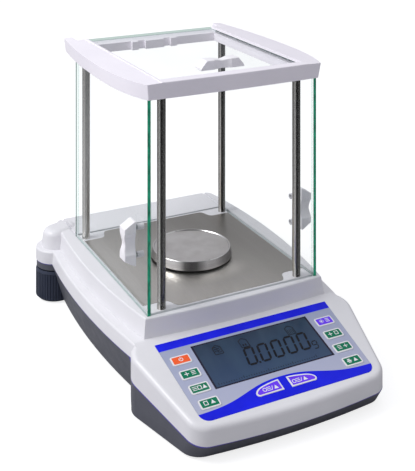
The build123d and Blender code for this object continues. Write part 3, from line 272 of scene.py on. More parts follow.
def pillar_steel(name, low, high):
    """Ground round bar with a painted reflection of a studio's dark and bright strips along its length, painted
    paler on the far left pillar and painted darker towards the top.
    """
    material, tree, shader = start(name)
    shader.inputs["Metallic"].default_value = 1.0
    # painted reflection: studio strips across the bar, by the way it turns to the viewer
    strips = painted_reflection_strips(tree, PILLAR_PAINTED_REFLECTION)
    x, y, height = axes(tree)
    # painted light: the far left pillar is painted paler
    far_left_painted_light = remap(tree, maths(tree, "SUBTRACT", y, x), *FAR_LEFT, 0, 0.62)
    strips = mix_colour(tree, far_left_painted_light, strips, (0.82, 0.82, 0.82))
    # painted shade: the bars darken towards the top
    painted_shade_upwards = remap(tree, height, low, high, 1.0, 0.55)
    lines = noise(tree, 0.22 * MM, 2, (1, 1, 0.01))
    tone = scaled(tree, strips, maths(tree, "MULTIPLY", painted_shade_upwards, remap(tree, lines, 0.3, 0.7, 0.96, 1.04)))
    warm = vector_maths(tree, "MULTIPLY", tone, (1.06, 1.02, 0.97))
    shaded(tree, shader, warm, remap(tree, lines, 0.3, 0.7, 0.20, 0.27), lines, 0.0006 * MM)
    return material


def plate_steel(name):
    """Brushed floor plate with painted light towards the left and the user, and a painted reflection of the pan's
    rim in front of the pan.
    """
    material = brushed(name, (0.42, 0.40, 0.37), 0.37, (1, 0.02, 1), radial="X")
    tree = material.node_tree
    base = tree.nodes["Principled BSDF"].inputs["Base Color"]
    tone = base.links[0].from_socket
    x, y, _ = axes(tree)
    # painted light and shade: brighter towards the left front, darker towards the right rear
    fall = maths(tree, "ADD", x, maths(tree, "MULTIPLY", y, 0.6))
    light = remap(tree, fall, *PLATE_PAINTED_LIGHT, 1.55, 0.80, smooth=True)
    # painted reflection of the pan's rim on the plate, in front of the pan
    radius = distance_from_axis(tree, x, y)
    inner, middle, outer = PAN_RIM_PAINTED_REFLECTION
    ring = maths(tree, "MULTIPLY", remap(tree, radius, inner, middle, 0, 1, smooth=True),
                 remap(tree, radius, middle, outer, 1, 0, smooth=True))
    ahead = remap(tree, maths(tree, "DIVIDE", y, radius), -0.98, -0.55, 1, 0, smooth=True)
    painted_gleam = maths(tree, "MULTIPLY", maths(tree, "MULTIPLY", ring, ahead), 0.55)
    tree.links.new(scaled(tree, tone, maths(tree, "ADD", light, painted_gleam)), base)
    return material


def pan_steel(name):
    """Pan: a satin, faintly blotched top inside a turned rim with a painted reflection of bright and dark studio
    strips.
    """
    material, tree, shader = start(name)
    shader.inputs["Metallic"].default_value = 1.0
    x, y, z = axes(tree)
    turning = put(tree, "CombineXYZ", X=maths(tree, "MULTIPLY", distance_from_axis(tree, x, y), 4200.0),
                  Y=maths(tree, "MULTIPLY", z, 3800.0)).outputs[0]
    rings = put(tree, "TexNoise", {"noise_dimensions": "2D"}, Vector=turning, Scale=1.0, Detail=2.0)
    blotch = noise(tree, 16 * MM, 4)
    upward = put(tree, "SeparateXYZ", Vector=put(tree, "NewGeometry").outputs["Normal"]).outputs[2]
    flat = remap(tree, upward, 0.7, 0.9, 0, 1, smooth=True)
    satin = mix_colour(tree, remap(tree, blotch, 0.35, 0.65, 0, 1), (0.58, 0.555, 0.535), (0.66, 0.64, 0.62))
    rings = rings.outputs[0]
    turned = mix_colour(tree, remap(tree, rings, 0.35, 0.65, 0, 1), (0.66, 0.65, 0.64), (0.96, 0.95, 0.94))
    # painted reflection: the turned rim's tone times the studio strips
    bright = vector_maths(tree, "MULTIPLY", turned, painted_reflection_strips(tree, PAN_PAINTED_REFLECTION))
    tone = mix_colour(tree, flat, bright, satin)
    gloss = remap(tree, flat, 0, 1, 0.34, 0.42)
    grain = maths(tree, "MULTIPLY", rings, remap(tree, flat, 0, 1, 1.0, 0.5))
    shaded(tree, shader, tone, gloss, grain, 0.004 * MM, 0.3 * MM)
    return material


def blend(tree, share, first, second):
    """Shader that goes from first to second as share goes from 0 to 1."""
    made = put(tree, "MixShader", Fac=share)
    tree.links.new(first.outputs[0], made.inputs[1])
    tree.links.new(second.outputs[0], made.inputs[2])
    return made


def sheet_glass(name, face_axis, green_before=-FAR_OFF, dark_beyond=0.0, side_tint=(0.80, 0.87, 0.85)):
    """Clear float glass whose faces look along face_axis.

    Cut edges have the pale side_tint. They are deep green in front of green_before, with a painted glow. An end
    that looks along y is painted dark, as painted shade, where it lies farther than dark_beyond from the middle
    plane along face_axis."""
    material, tree, shader = start(name)
    tree.nodes.remove(shader)
    sides = put(tree, "VectorTransform", {"vector_type": "NORMAL", "convert_from": "WORLD",
                                          "convert_to": "OBJECT"},
                Vector=put(tree, "NewGeometry").outputs["True Normal"])
    facing = put(tree, "SeparateXYZ", Vector=sides.outputs[0]).outputs
    spot = axes(tree)

    graze = put(tree, "LayerWeight", Blend=0.35).outputs["Facing"]
    tint = mix_colour(tree, graze, (0.998, 1.0, 0.999), (0.988, 0.996, 0.993))
    clear = put(tree, "BsdfTransparent", Color=tint)
    gloss = put(tree, "BsdfGlossy", Color=(0.96, 1.0, 0.98), Roughness=0.02)
    sheen = maths(tree, "MULTIPLY", put(tree, "Fresnel", IOR=1.45).outputs[0], 0.09)
    smears = remap(tree, noise(tree, 45 * MM, 3, (1, 1, 0.35)), 0.4, 0.75, 0.8, 1.25)
    face = blend(tree, maths(tree, "MULTIPLY", sheen, smears, clamp=True), clear, gloss)

    flecks = noise(tree, 2.2 * MM, 3, (1, 1, 0.3))
    deep = mix_colour(tree, remap(tree, flecks, 0.36, 0.66, 0, 1), (0.003, 0.14, 0.075), (0.006, 0.30, 0.16))
    # painted glow: the green edges emit light of their own
    green = put(tree, "BsdfPrincipled", Base_Color=deep, Roughness=0.18, Emission_Color=deep,
                Emission_Strength=0.3)
    # painted shade: ends that look along y, beyond dark_beyond, get a dark tint
    outer = maths(tree, "GREATER_THAN", maths(tree, "ABSOLUTE", spot[face_axis]), dark_beyond)
    at_end = maths(tree, "GREATER_THAN", maths(tree, "ABSOLUTE", facing[1]), 0.9)
    shade = mix_colour(tree, maths(tree, "MULTIPLY", outer, at_end), side_tint, (0.10, 0.17, 0.145))
    edge = blend(tree, maths(tree, "LESS_THAN", spot[1], green_before),
                 put(tree, "BsdfTransparent", Color=shade), green)

    is_face = maths(tree, "GREATER_THAN", maths(tree, "ABSOLUTE", facing[face_axis]), 0.9)
    surface = blend(tree, is_face, edge, face)
    tree.links.new(surface.outputs[0], tree.nodes["Material Output"].inputs["Surface"])
    return material


STRIP_WIDE = 8.6 * MM  # blue strip along the top of the keypad overlay
WAVE_LOW, WAVE_RISE, WAVE_HALF = 8.0 * MM, 13.5 * MM, 45 * MM  # its blue wave: ends, crest and half width
PRINT_EDGE = 0.1 * MM  # softness of a printed edge


def printed_film(name, low_corner, high_corner):
    """Keypad overlay: grey-lilac field, a blue strip along the top and a blue wave along the bottom."""
    material, tree, shader = start(name)
    x, y, _ = axes(tree)
    flow = remap(tree, noise(tree, 24 * MM, 2), 0.3, 0.7, 0, 1)
    blue = mix_colour(tree, flow, (0.004, 0.008, 0.70), (0.008, 0.014, 0.84))
    fade = remap(tree, y, low_corner.y, high_corner.y, 0, 1)
    field = mix_colour(tree, fade, (0.47, 0.49, 0.64), (0.36, 0.40, 0.56))
    strip_edge = high_corner.y - STRIP_WIDE
    strip = remap(tree, y, strip_edge - PRINT_EDGE, strip_edge + PRINT_EDGE, 0, 1)
    reach = maths(tree, "POWER", maths(tree, "ABSOLUTE", maths(tree, "DIVIDE", x, WAVE_HALF)), 2.5)
    crest = maths(tree, "MULTIPLY", maths(tree, "EXPONENT", maths(tree, "MULTIPLY", reach, -1.0)), WAVE_RISE)
    below = maths(tree, "SUBTRACT", maths(tree, "ADD", crest, low_corner.y + WAVE_LOW), y)
    wave = remap(tree, below, -PRINT_EDGE, PRINT_EDGE, 0, 1)
    tone = mix_colour(tree, maths(tree, "MAXIMUM", strip, wave), field, blue)
    mottle = noise(tree, 0.5 * MM, 2)
    shaded(tree, shader, tone, remap(tree, mottle, 0.3, 0.7, 0.30, 0.42), mottle, 0.004 * MM)
    shader.inputs["Specular IOR Level"].default_value = 0.15
    return material


WINDOW_BORDER = 1.9 * MM, 1.4 * MM  # printed border of the display window, beside and above the field


def display_window(name, low_corner, high_corner):
    """Display under its window: dark blue-grey field with painted shade that darkens it upwards, inside a black
    printed border.
    """
    material, tree, shader = start(name)
    x, y, _ = axes(tree)
    middle = (low_corner + high_corner) / 2
    half_w = (high_corner.x - low_corner.x) / 2 - WINDOW_BORDER[0]
    half_h = (high_corner.y - low_corner.y) / 2 - WINDOW_BORDER[1]
    past_x = maths(tree, "SUBTRACT", maths(tree, "ABSOLUTE", x), half_w)
    past_y = maths(tree, "SUBTRACT", maths(tree, "ABSOLUTE", maths(tree, "SUBTRACT", y, middle.y)), half_h)
    border = remap(tree, maths(tree, "MAXIMUM", past_x, past_y), -0.3 * MM, 0.3 * MM, 0, 1, smooth=True)
    # painted shade: the field darkens towards its top
    painted_shade_rise = remap(tree, y, low_corner.y, high_corner.y, 0, 1)
    field = mix_colour(tree, painted_shade_rise, (0.044, 0.076, 0.150), (0.026, 0.045, 0.080))
    bands = remap(tree, noise(tree, 22 * MM, 2, (1.0, 0.35, 1)), 0.35, 0.7, 0, 0.35)
    field = mix_colour(tree, bands, field, (0.060, 0.105, 0.160))
    tone = mix_colour(tree, border, field, (0.022, 0.020, 0.040))
    shaded(tree, shader, tone, remap(tree, noise(tree, 12 * MM, 3), 0.3, 0.7, 0.10, 0.20))
    shader.inputs["Specular IOR Level"].default_value = 0.12
    return material


def plain_print(name, colour, rough=0.35, swing=0.06):
    """Ink or pigment with a faintly uneven lay."""
    material, tree, shader = start(name)
    cover = noise(tree, 1.2 * MM, 3)
    tone = mix_colour(tree, remap(tree, cover, 0.35, 0.65, 0, 1), tuple(c * (1 - swing) for c in colour),
                      tuple(min(1, c * (1 + swing)) for c in colour))
    shaded(tree, shader, tone, remap(tree, cover, 0.3, 0.7, rough * 0.9, rough * 1.1), cover, 0.003 * MM)
    shader.inputs["Specular IOR Level"].default_value = 0.15
    return material


def cast_metal(name, colour, rough, grain=1.4 * MM):
    """Sand-cast or plated metal with a pebbled skin."""
    material, tree, shader = start(name)
    shader.inputs["Metallic"].default_value = 1.0
    skin = noise(tree, grain, 5, rough=0.65)
    tone = mix_colour(tree, remap(tree, skin, 0.3, 0.7, 0, 1), tuple(c * 0.82 for c in colour), colour)
    gloss = remap(tree, skin, 0.3, 0.7, rough * 0.8, rough * 1.25)
    shaded(tree, shader, tone, gloss, skin, 0.06 * MM, 0.4 * MM)
    return material


def windings(name, pitch):
    """Enamelled copper wire wound round a coil."""
    material, tree, shader = start(name)
    shader.inputs["Metallic"].default_value = 0.9
    turns = maths(tree, "SINE", maths(tree, "MULTIPLY", axes(tree)[2], 2 * math.pi / pitch))
    tone = mix_colour(tree, remap(tree, turns, -1, 1, 0, 1), (0.30, 0.11, 0.05), (0.86, 0.42, 0.22))
    shaded(tree, shader, tone, 0.28, turns, 0.08 * MM)
    return material


def circuit_board(name):
    """Green solder mask over faint copper tracks."""
    material, tree, shader = start(name)
    tracks = put(tree, "TexBrick", Vector=place(tree), Scale=160.0, Mortar_Size=0.03,
                 Color1=(0.02, 0.20, 0.09), Color2=(0.025, 0.23, 0.10), Mortar=(0.10, 0.36, 0.18))
    shaded(tree, shader, tracks.outputs[0], 0.30, tracks.outputs[1], 0.03 * MM)
    return material


def rubber(name):
    """Black rubber with a matt, finely pitted skin."""
    material, tree, shader = start(name)
    skin = noise(tree, 0.9 * MM, 4)
    tone = mix_colour(tree, skin, (0.020, 0.020, 0.022), (0.045, 0.045, 0.048))
    shaded(tree, shader, tone, remap(tree, skin, 0.3, 0.7, 0.6, 0.85), skin, 0.04 * MM)
    return material


def spirit(name, bubble, radius):
    """Yellow-green spirit with a pale bubble and a black ring to centre it in."""
    material, tree, shader = start(name)
    offset = vector_maths(tree, "SUBTRACT", place(tree), bubble)
    away = vector_maths(tree, "LENGTH", vector_maths(tree, "MULTIPLY", offset, (1, 1, 0)))
    inside = remap(tree, away, radius, radius + 0.15 * MM, 1, 0, smooth=True)
    ring_at = maths(tree, "ABSOLUTE", maths(tree, "SUBTRACT", away, radius * 1.45))
    ring = remap(tree, ring_at, 0.12 * MM, 0.22 * MM, 1, 0, smooth=True)
    liquid = mix_colour(tree, noise(tree, 5 * MM), (0.42, 0.56, 0.04), (0.50, 0.66, 0.07))
    tone = mix_colour(tree, ring, mix_colour(tree, inside, liquid, (0.80, 0.88, 0.50)), (0.01, 0.01, 0.01))
    shaded(tree, shader, tone, 0.06)
    shader.inputs["Coat Weight"].default_value = 0.6
    return material


def paint(node, material):
    """Gives a CAD node its material."""
    mesh = nodes[node].data
    mesh.materials.clear()
    mesh.materials.append(material)


# ---------------------------------------------------------------- materials on the CAD nodes
overlay_low, overlay_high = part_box("keypad_overlay")
window_low, window_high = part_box("lcd_window")
level_low, level_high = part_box("level_vial")
level_centre = (level_low + level_high) / 2
pillar_low, pillar_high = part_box("pillars")

WHITE = white_housing("moulded_white", (0.80, 0.795, 0.822))
FRAME_WHITE = white_housing("frame_white", (0.95, 0.915, 0.985))
# painted light: a paler copy of the moulded white, so the handles look more brightly lit
HANDLE_WHITE_PAINTED_LIGHT = white_housing("handle_white_painted_light", (0.97, 0.955, 1.0))
door_low, door_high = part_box("right_door_glass")
GLASS_DOOR = sheet_glass("glass_door", 0, door_low.y + 0.5 * MM, door_high.x - 1.2 * MM)
GLASS_PANE = sheet_glass("glass_pane", 1)
# painted shade: the lid's cut edges get a darker tint, standing in for the shade under the frame's lip
GLASS_LID = sheet_glass("glass_lid", 2, dark_beyond=FAR_OFF, side_tint=(0.50, 0.60, 0.56))
ZINC = brushed("zinc_screw", (0.62, 0.62, 0.61), 0.32, (1, 1, 1), 0.6 * MM)
BLACK = moulded("moulded_black", (0.022, 0.022, 0.025), 0.45)[0]
CASTING = cast_metal("cast_aluminium", (0.66, 0.67, 0.69), 0.42)
BOARD = circuit_board("circuit_board")
RUBBER = rubber("moulded_rubber")
WHEEL = ribbed_plastic("wheel_navy")
KEY_WHITE = moulded("key_white", (0.84, 0.84, 0.86), 0.34, soft=0.2 * MM)[0]

look = {
    "upper_housing": WHITE,
    "top_frame": FRAME_WHITE,
    "lower_housing": dark_housing("moulded_dark"),
    "pillars": pillar_steel("pillar_steel", pillar_low.z, pillar_high.z),
    "floor_plate": plate_steel("floor_plate_steel"),
    "pan": pan_steel("pan_steel"),
    "pan_carrier": BLACK,
    "front_glass": GLASS_PANE,
    "rear_glass": GLASS_PANE,
    "left_door_glass": GLASS_DOOR,
    "right_door_glass": GLASS_DOOR,
    "lid_glass": GLASS_LID,
    "keypad_overlay": printed_film("printed_film", overlay_low, overlay_high),
    "lcd_window": display_window("display_window", window_low, window_high),
    "lcd_module": moulded("display_module", (0.05, 0.07, 0.09), 0.3)[0],
    "display_board": BOARD,
    "main_board": BOARD,
    "position_sensor": BOARD,
    "tact_switches": BLACK,
    "dc_jack": BLACK,
    "serial_port": brushed("plated_shell", (0.66, 0.65, 0.62), 0.28, (1, 1, 1), 0.5 * MM),
    "level_cup": BLACK,
    "level_vial": spirit("spirit", tuple(level_centre), 2.2 * MM),
    "front_feet": RUBBER,
    "foot_inserts": cast_metal("turned_brass", (0.80, 0.60, 0.28), 0.26, 0.5 * MM),
    "cell_base": CASTING,
    "lever_beam": CASTING,
    "load_receiver": CASTING,
    "magnet_pot": cast_metal("plated_magnet", (0.30, 0.30, 0.33), 0.35),
    "lever_pivot": ZINC,
    "parallel_guides": brushed("spring_strip", (0.58, 0.57, 0.54), 0.24, (1, 0.03, 1)),
    "coil": windings("coil_windings", 0.5 * MM),
    "pillar_screws": ZINC,
    "housing_screws": ZINC,
    "cell_screws": ZINC,
}
look["lid_handle"] = HANDLE_WHITE_PAINTED_LIGHT
for side in ("left", "right"):
    look[f"{side}_handle"] = HANDLE_WHITE_PAINTED_LIGHT
    look[f"{side}_handle_bosses"] = WHITE
    look[f"{side}_handle_screws"] = ZINC
for side in ("left", "right"):
    look[f"{side}_foot_wheel"] = WHEEL
    look[f"{side}_foot_stud"] = ZINC
    look[f"{side}_foot_pad"] = RUBBER
    look[f"key_wing_{side}"] = KEY_WHITE
    for row in range(1, 5):
        look[f"key_{side}_{row}"] = KEY_WHITE
for node, material in look.items():
    paint(node, material)


# ---------------------------------------------------------------- flat raised artwork
class Art:
    """Collects flat outlines, in millimetres on a sloping face, as closed thin prisms."""

    def __init__(self, origin, across, along, normal):
        self.origin, self.across, self.along, self.normal = origin, across, along, normal
        self.points, self.faces, self.slots = [], [], []

    def prism(self, outline, low, high, slot=0):
        """Closed prism over a simple outline that runs anticlockwise."""
        base, count = len(self.points), len(outline)
        for height in (low, high):
            for u, v in outline:
                offset = self.across * u + self.along * v + self.normal * height
                self.points.append(self.origin + offset * MM)
        ring = range(count)
        self.faces.append([base + i for i in reversed(ring)])
        self.faces.append([base + count + i for i in ring])
        for i in ring:
            j = (i + 1) % count
            self.faces.append([base + i, base + j, base + count + j, base + count + i])
        self.slots += [slot] * (count + 2)

    def build(self, name, body, slot_name, *materials):
        mesh = bpy.data.meshes.new(name)
        mesh.from_pydata(self.points, [], self.faces)
        for material in materials:
            mesh.materials.append(material)
        mesh.polygons.foreach_set("material_index", self.slots)
        mesh.validate()
        made = bpy.data.objects.new(name, mesh)
        bpy.context.scene.collection.objects.link(made)
        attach(made, body)
        return made


def face_on(node, normal=PANEL_NORMAL, along=PANEL_UP):
    """Art frame in the middle of a node's outer face."""
    low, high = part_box(node)
    middle = (low + high) / 2
    top = max(vertex.co.dot(normal) for vertex in nodes[node].data.vertices)
    return Art(middle + normal * (top - middle.dot(normal)), along.cross(normal), along, normal)


def bar(x0, y0, x1, y1, width):
    """Outline of a straight stroke."""
    run = Vector((x1 - x0, y1 - y0)).normalized() * (width / 2)
    side = Vector((-run.y, run.x))
    return [(x0 - side.x, y0 - side.y), (x1 - side.x, y1 - side.y), (x1 + side.x, y1 + side.y),
            (x0 + side.x, y0 + side.y)]


def arc(cx, cy, radius, width, start, stop, steps=18):
    """Outlines of a curved stroke, as short quads from start to stop degrees."""
    parts = []
    for i in range(steps):
        a0, a1 = (math.radians(start + (stop - start) * k / steps) for k in (i, i + 1))
        inner, outer = radius - width / 2, radius + width / 2
        parts.append([(cx + r * math.cos(a), cy + r * math.sin(a))
                      for r, a in ((inner, a0), (outer, a0), (outer, a1), (inner, a1))])
    return parts


def turn(a, b, c):
    """Positive where a to b to c turns left."""
    return (b[0] - a[0]) * (c[1] - a[1]) - (b[1] - a[1]) * (c[0] - a[0])


TOP_SKIN = 0.05  # depth below a key's highest point, in mm, that still counts as its top face
STRAIGHT = 0.002  # turn, in square mm, below which a point on the outline is left out
SHARPEST = 0.5  # limit to how far a corner is drawn in along its bisector


def cap_outline(node, inset):
    """Outline of a key's top face in its art frame, drawn in by inset all round."""
    art = face_on(node)
    top = set()
    for vertex in nodes[node].data.vertices:
        offset = (vertex.co - art.origin) / MM
        if offset.dot(art.normal) > -TOP_SKIN:
            top.add((round(offset.dot(art.across), 2), round(offset.dot(art.along), 2)))
    hull = []
    for points in (sorted(top), sorted(top, reverse=True)):
        chain = []
        for point in points:
            while len(chain) > 1 and turn(chain[-2], chain[-1], point) <= STRAIGHT:
                chain.pop()
            chain.append(point)
        hull += chain[:-1]
    edges = [(Vector(b) - Vector(a)).normalized() for a, b in zip(hull, hull[1:] + hull[:1])]
    drawn_in = []
    for i, corner in enumerate(hull):
        before, after = edges[i - 1], edges[i]
        inward = Vector((-before.y - after.y, before.x + after.x)).normalized()
        reach = inset / max(SHARPEST, inward.dot(Vector((-after.y, after.x))))
        drawn_in.append((corner[0] + inward.x * reach, corner[1] + inward.y * reach))
    return drawn_in


def rounded(width, height, radius, cx=0.0, cy=0.0, steps=5):
    """Outline of a rounded rectangle."""
    outline = []
    for corner, (sx, sy) in enumerate(((1, 1), (-1, 1), (-1, -1), (1, -1))):
        for k in range(steps + 1):
            angle = math.radians(90 * corner + 90 * k / steps)
            outline.append((cx + sx * (width / 2 - radius) + radius * math.cos(angle),
                            cy + sy * (height / 2 - radius) + radius * math.sin(angle)))
    return outline


# ---------------------------------------------------------------- key prints
INK_LOW, INK_HIGH, LEGEND_HIGH = -0.05, 0.05, 0.10  # heights over the printed face, in mm
KEY_BORDER = 1.25  # white rim left round the ink
SIGN_SCALE = 1.3
SIGN_PITCH, CLOSE_PITCH = 6.4, 4.6  # spacing of up to two signs on a key, and of three
LEGEND = plain_print("legend_white", (0.86, 0.86, 0.88))
INKS = {
    "key_orange": plain_print("ink_orange", (1.0, 0.125, 0.030)),
    "key_green": plain_print("ink_green", (0.003, 0.190, 0.095)),
    "key_violet": plain_print("ink_violet", (0.17, 0.050, 1.0)),
}

# signs as stroke outlines round their own middle
POWER = arc(0, 0, 1.35, 0.5, 125, 415) + [bar(0, 0.1, 0, 1.9, 0.5)]
LINES = [bar(-1.5, y, 1.5, y, 0.5) for y in (-1.3, 0.0, 1.3)]
PLUS = [bar(-1.6, 0, 1.6, 0, 0.55), bar(0, 0.28, 0, 1.6, 0.55), bar(0, -1.6, 0, -0.28, 0.55)]
BOX = [bar(-1.5, 1.4, 1.5, 1.4, 0.5), bar(-1.5, -1.4, 1.5, -1.4, 0.5),
       bar(-1.25, -1.15, -1.25, 1.15, 0.5), bar(1.25, -1.15, 1.25, 1.15, 0.5)]
ARROW = [[(-1.6, -1.4), (1.6, -1.4), (0, 1.6)]]
RAYS = [bar(1.15 * math.cos(a), 1.15 * math.sin(a), 1.8 * math.cos(a), 1.8 * math.sin(a), 0.4)
        for a in (math.radians(45 * k) for k in range(8))]
SUN = arc(0, 0, 0.4, 0.8, 0, 360, 12) + RAYS
PRINTER = [bar(-1.7, -0.2, 1.7, -0.2, 1.1), bar(-1.0, 1.15, 1.0, 1.15, 0.9),
           bar(-1.1, -1.35, 1.1, -1.35, 0.6)]
RING = arc(0, 0, 1.3, 0.5, 0, 360)
SLASH = [bar(-0.7, -1.6, 0.7, 1.6, 0.4)]

KEY_SIGNS = {
    "key_left_1": ("key_orange", [POWER]),
    "key_left_2": ("key_green", [PLUS, LINES]),
    "key_left_3": ("key_green", [LINES, BOX, ARROW]),
    "key_left_4": ("key_green", [BOX, ARROW]),
    "key_right_1": ("key_violet", [SUN, LINES]),
    "key_right_2": ("key_green", [PLUS, BOX]),
    "key_right_3": ("key_green", [LINES, PLUS]),
    "key_right_4": ("key_green", [PRINTER, ARROW]),
}
WING_SIGNS = [(RING, -6.2), (LINES, -2.2), (SLASH, 1.0), (ARROW, 4.6)]
WING_INWARD, WING_DROP = 2.4, -1.3  # from the middle of a wing key's box to the middle of its legend


def print_key(node, ink, placed_signs):
    """Ink field on a key's cap, with white signs at (across, along) on it."""
    art = face_on(node)
    art.prism(cap_outline(node, KEY_BORDER), INK_LOW, INK_HIGH)
    for sign, across, along in placed_signs:
        for outline in sign:
            art.prism([(u * SIGN_SCALE + across, v * SIGN_SCALE + along) for u, v in outline],
                      INK_HIGH, LEGEND_HIGH, 1)
    art.build(f"{node}_print", body_of_node[node], ink, INKS[ink], LEGEND)


for node, (ink, signs) in KEY_SIGNS.items():
    pitch = CLOSE_PITCH if len(signs) > 2 else SIGN_PITCH
    first = -pitch * (len(signs) - 1) / 2
    print_key(node, ink, [(sign, first + index * pitch, 0.0) for index, sign in enumerate(signs)])
for side_name, side in (("left", -1), ("right", 1)):
    print_key(f"key_wing_{side_name}", "key_violet",
              [(sign, across - side * WING_INWARD, WING_DROP) for sign, across in WING_SIGNS])


# ---------------------------------------------------------------- display segments
SEGMENT = plain_print("segment_dark", (0.003, 0.003, 0.006), 0.4)
GHOST = plain_print("segment_faint", (0.007, 0.010, 0.017), 0.4)
SLANT = 0.185  # lean of the figures to the right, per unit of height
STROKE, UNIT_STROKE, SIGN_STROKE, SCALE_STROKE = 2.1, 1.0, 0.75, 0.5
FIGURE_W, FIGURE_H, FIGURE_PITCH, FIRST_X, FIGURE_Y = 8.2, 18.6, 13.7, -13.4, -1.7
POINT_SIZE, POINT_BACK = 1.9, 2.2  # decimal point, and how far it stands left of the gap's middle
UNIT_X, UNIT_Y, UNIT_W, UNIT_H = 49.6, -9.0, 4.6, 8.6
SIGN_Y = 14.2
SCALE_X, SCALE_Y, SCALE_PITCH, SCALE_TICKS = -55.0, -22.4, 2.45, 41
LONG_TICK, SHORT_TICK = 2.6, 1.3
display = face_on("lcd_window")


def segment(x0, y0, x1, y1, width):
    """Pointed-ended stroke of a seven-segment figure."""
    run = Vector((x1 - x0, y1 - y0)).normalized() * (width / 2)
    side = Vector((-run.y, run.x))
    return [(x0, y0), (x0 + run.x - side.x, y0 + run.y - side.y), (x1 - run.x - side.x, y1 - run.y - side.y),
            (x1, y1), (x1 - run.x + side.x, y1 - run.y + side.y), (x0 + run.x + side.x, y0 + run.y + side.y)]


def figure(cx, cy, width, height, lit, stroke):
    """Seven-segment figure centred at (cx, cy); lit names its segments a to g."""
    w, h, gap = width / 2, height / 2, 0.25
    strokes = {
        "a": (-w + gap, h, w - gap, h), "b": (w, gap, w, h - gap), "c": (w, -h + gap, w, -gap),
        "d": (-w + gap, -h, w - gap, -h), "e": (-w, -h + gap, -w, -gap), "f": (-w, gap, -w, h - gap),
        "g": (-w + gap, 0, w - gap, 0),
    }
    for name in lit:
        outline = segment(*strokes[name], stroke)
        display.prism([(cx + u + SLANT * v, cy + v) for u, v in outline], 0, LEGEND_HIGH)


def house(cx, cy):
    """Thin house-shaped frame of a display sign."""
    for x0, y0, x1, y1 in ((-4, -5, 4, -5), (4, -5, 4, 3), (4, 3, 0, 5.5), (0, 5.5, -4, 3), (-4, 3, -4, -5)):
        display.prism(bar(cx + x0, cy + y0, cx + x1, cy + y1, SIGN_STROKE), 0, LEGEND_HIGH, 1)


for index in range(5):
    figure(FIRST_X + index * FIGURE_PITCH, FIGURE_Y, FIGURE_W, FIGURE_H, "abcdef", STROKE)
point_x = FIRST_X + FIGURE_PITCH / 2 - POINT_BACK
display.prism(rounded(POINT_SIZE, POINT_SIZE, 0.5, point_x, FIGURE_Y - FIGURE_H / 2), 0, LEGEND_HIGH)
figure(UNIT_X, UNIT_Y, UNIT_W, UNIT_H, "abcdfg", UNIT_STROKE)

for cx in (-38.5, -12.0, 36.5):
    house(cx, SIGN_Y)
for k in range(3):  # ripples in the left sign
    for quad in arc(-40.3, SIGN_Y - 2.6 + 2.2 * k, 1.7, 0.6, 20, 160, 8):
        display.prism(quad, 0, LEGEND_HIGH)
    for quad in arc(-37.0, SIGN_Y - 1.4 + 2.2 * k, 1.7, 0.6, 200, 340, 8):
        display.prism(quad, 0, LEGEND_HIGH)
for k in range(2):  # pair of weights in the middle sign
    display.prism(rounded(1.3, 2.4, 0.6, -13.6 + 2.4 * k, SIGN_Y - 2.4), 0, LEGEND_HIGH)
for k in range(4):  # bars in the right sign
    x = 34.0 + 1.7 * k
    display.prism(bar(x, SIGN_Y - 3.8, x, SIGN_Y + 1.6 - 0.6 * (k % 2), 0.6), 0, LEGEND_HIGH, 1)
for k in range(SCALE_TICKS):
    x, tick = SCALE_X + SCALE_PITCH * k, SHORT_TICK if k % 10 else LONG_TICK
    display.prism(bar(x, SCALE_Y, x, SCALE_Y + tick, SCALE_STROKE), 0, LEGEND_HIGH, 1)
display.build("display_figures", body_of_node["lcd_window"], "display", SEGMENT, GHOST)


# ---------------------------------------------------------------- studio
FLOOR_HALF, FLOOR_DROP = 9.0, 0.2 * MM
FLOOR_GLOW = 0.78  # what the floor adds to its own shade, to the eye alone
LIGHT_SPOT, LIGHT_AIM, LIGHT_SIZE, LIGHT_POWER = (-0.95, 0.15, 1.05), (0, 0, 0.15), 0.7, 9.5
WORLD_BASE, WORLD_LEFT, WORLD_ABOVE, WORLD_BEHIND, WORLD_RIGHT = 0.17, 0.34, 0.52, 0.20, 0.08
CAMERA_SPOT, CAMERA_TURN = (-0.4351, -0.8977, 0.5081), -26.8
SENSOR, LENS, CAMERA_SHIFT = 36.0, 74.47, -0.862


def studio_floor():
    """Pale paper floor: near white to the eye, with a weaker bounce that leaves lower faces in shade."""
    mesh = bpy.data.meshes.new("studio_floor")
    corners = [(sx * FLOOR_HALF, sy * FLOOR_HALF, 0) for sx, sy in ((-1, -1), (1, -1), (1, 1), (-1, 1))]
    mesh.from_pydata(corners, [], [(0, 1, 2, 3)])
    material, tree, shader = start("studio_paper")
    seen = put(tree, "LightPath").outputs["Is Camera Ray"]
    paper = mix_colour(tree, noise(tree, 0.6, 2), (0.40, 0.40, 0.41), (0.43, 0.43, 0.44))
    shaded(tree, shader, mix_colour(tree, seen, (0.48, 0.48, 0.49), paper), 0.85)
    shader.inputs["Specular IOR Level"].default_value = 0.1
    shader.inputs["Emission Color"].default_value = (1, 1, 1, 1)
    tree.links.new(maths(tree, "MULTIPLY", seen, FLOOR_GLOW), shader.inputs["Emission Strength"])
    mesh.materials.append(material)
    floor = bpy.data.objects.new("studio_floor", mesh)
    bpy.context.scene.collection.objects.link(floor)
    floor.location.z = cad_box[0].z - FLOOR_DROP


def key_light():
    """One large soft disk, high on the left."""
    lamp = bpy.data.lights.new("key", "AREA")
    lamp.shape, lamp.size, lamp.energy = "DISK", LIGHT_SIZE, LIGHT_POWER
    made = bpy.data.objects.new("key", lamp)
    bpy.context.scene.collection.objects.link(made)
    made.location = LIGHT_SPOT
    made.rotation_euler = (Vector(LIGHT_AIM) - Vector(LIGHT_SPOT)).to_track_quat("-Z", "Y").to_euler()


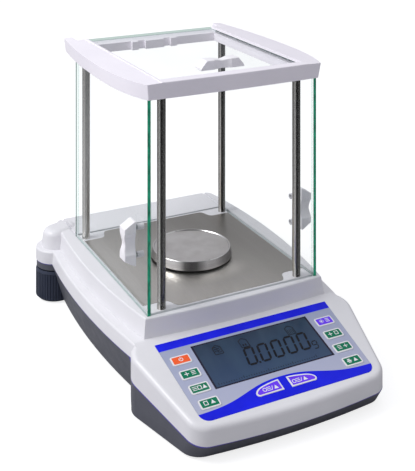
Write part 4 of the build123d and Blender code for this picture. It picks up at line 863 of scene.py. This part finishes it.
def photo_camera():
    """Level camera above the user's left, its picture shifted down so that upright edges stay parallel."""
    data = bpy.data.cameras.new("camera")
    data.sensor_width = SENSOR
    data.lens = LENS
    data.clip_end = 60.0
    camera = bpy.data.objects.new("camera", data)
    bpy.context.scene.collection.objects.link(camera)
    camera.location = CAMERA_SPOT
    camera.rotation_euler = Euler((math.radians(90), 0, math.radians(CAMERA_TURN)))
    # the shift belongs to this height alone: from any other it is none
    curve = data.driver_add("shift_y")
    curve.driver.type = "SCRIPTED"
    height = curve.driver.variables.new()
    height.name = "height"
    height.type = "TRANSFORMS"
    height.targets[0].id = camera
    height.targets[0].transform_type = "LOC_Z"
    height.targets[0].transform_space = "WORLD_SPACE"
    curve.driver.expression = f"{CAMERA_SHIFT} if abs(height - {CAMERA_SPOT[2]}) < 0.0001 else 0.0"
    bpy.context.scene.camera = camera


def studio_world():
    """Wide soft light: brightest from above, then from the left, and weakest from the right and the user."""
    world = bpy.data.worlds.new("studio")
    world.use_nodes = True
    tree = world.node_tree
    background = tree.nodes["Background"]
    x, y, z = put(tree, "SeparateXYZ", Vector=put(tree, "TexCoord").outputs["Generated"]).outputs
    strength = WORLD_BASE
    for direction, sign, share in ((x, -1.0, WORLD_LEFT), (z, 1.0, WORLD_ABOVE), (y, 1.0, WORLD_BEHIND),
                                   (x, 1.0, WORLD_RIGHT)):
        facing = maths(tree, "MAXIMUM", maths(tree, "MULTIPLY", direction, sign), 0.0)
        strength = maths(tree, "ADD", strength, maths(tree, "MULTIPLY", facing, share))
    seen = put(tree, "LightPath").outputs["Is Camera Ray"]
    tree.links.new(remap(tree, seen, 0, 1, strength, 1.0), background.inputs["Strength"])
    shade = remap(tree, z, 0, 0.8, 0, 1)
    sky = mix_colour(tree, shade, (0.97, 0.94, 1.05), (0.97, 0.985, 1.03))
    tree.links.new(mix_colour(tree, seen, sky, (1.0, 1.0, 1.0)), background.inputs["Color"])
    bpy.context.scene.world = world


studio_world()
studio_floor()
key_light()
photo_camera()
bpy.context.scene.view_settings.view_transform = "Standard"
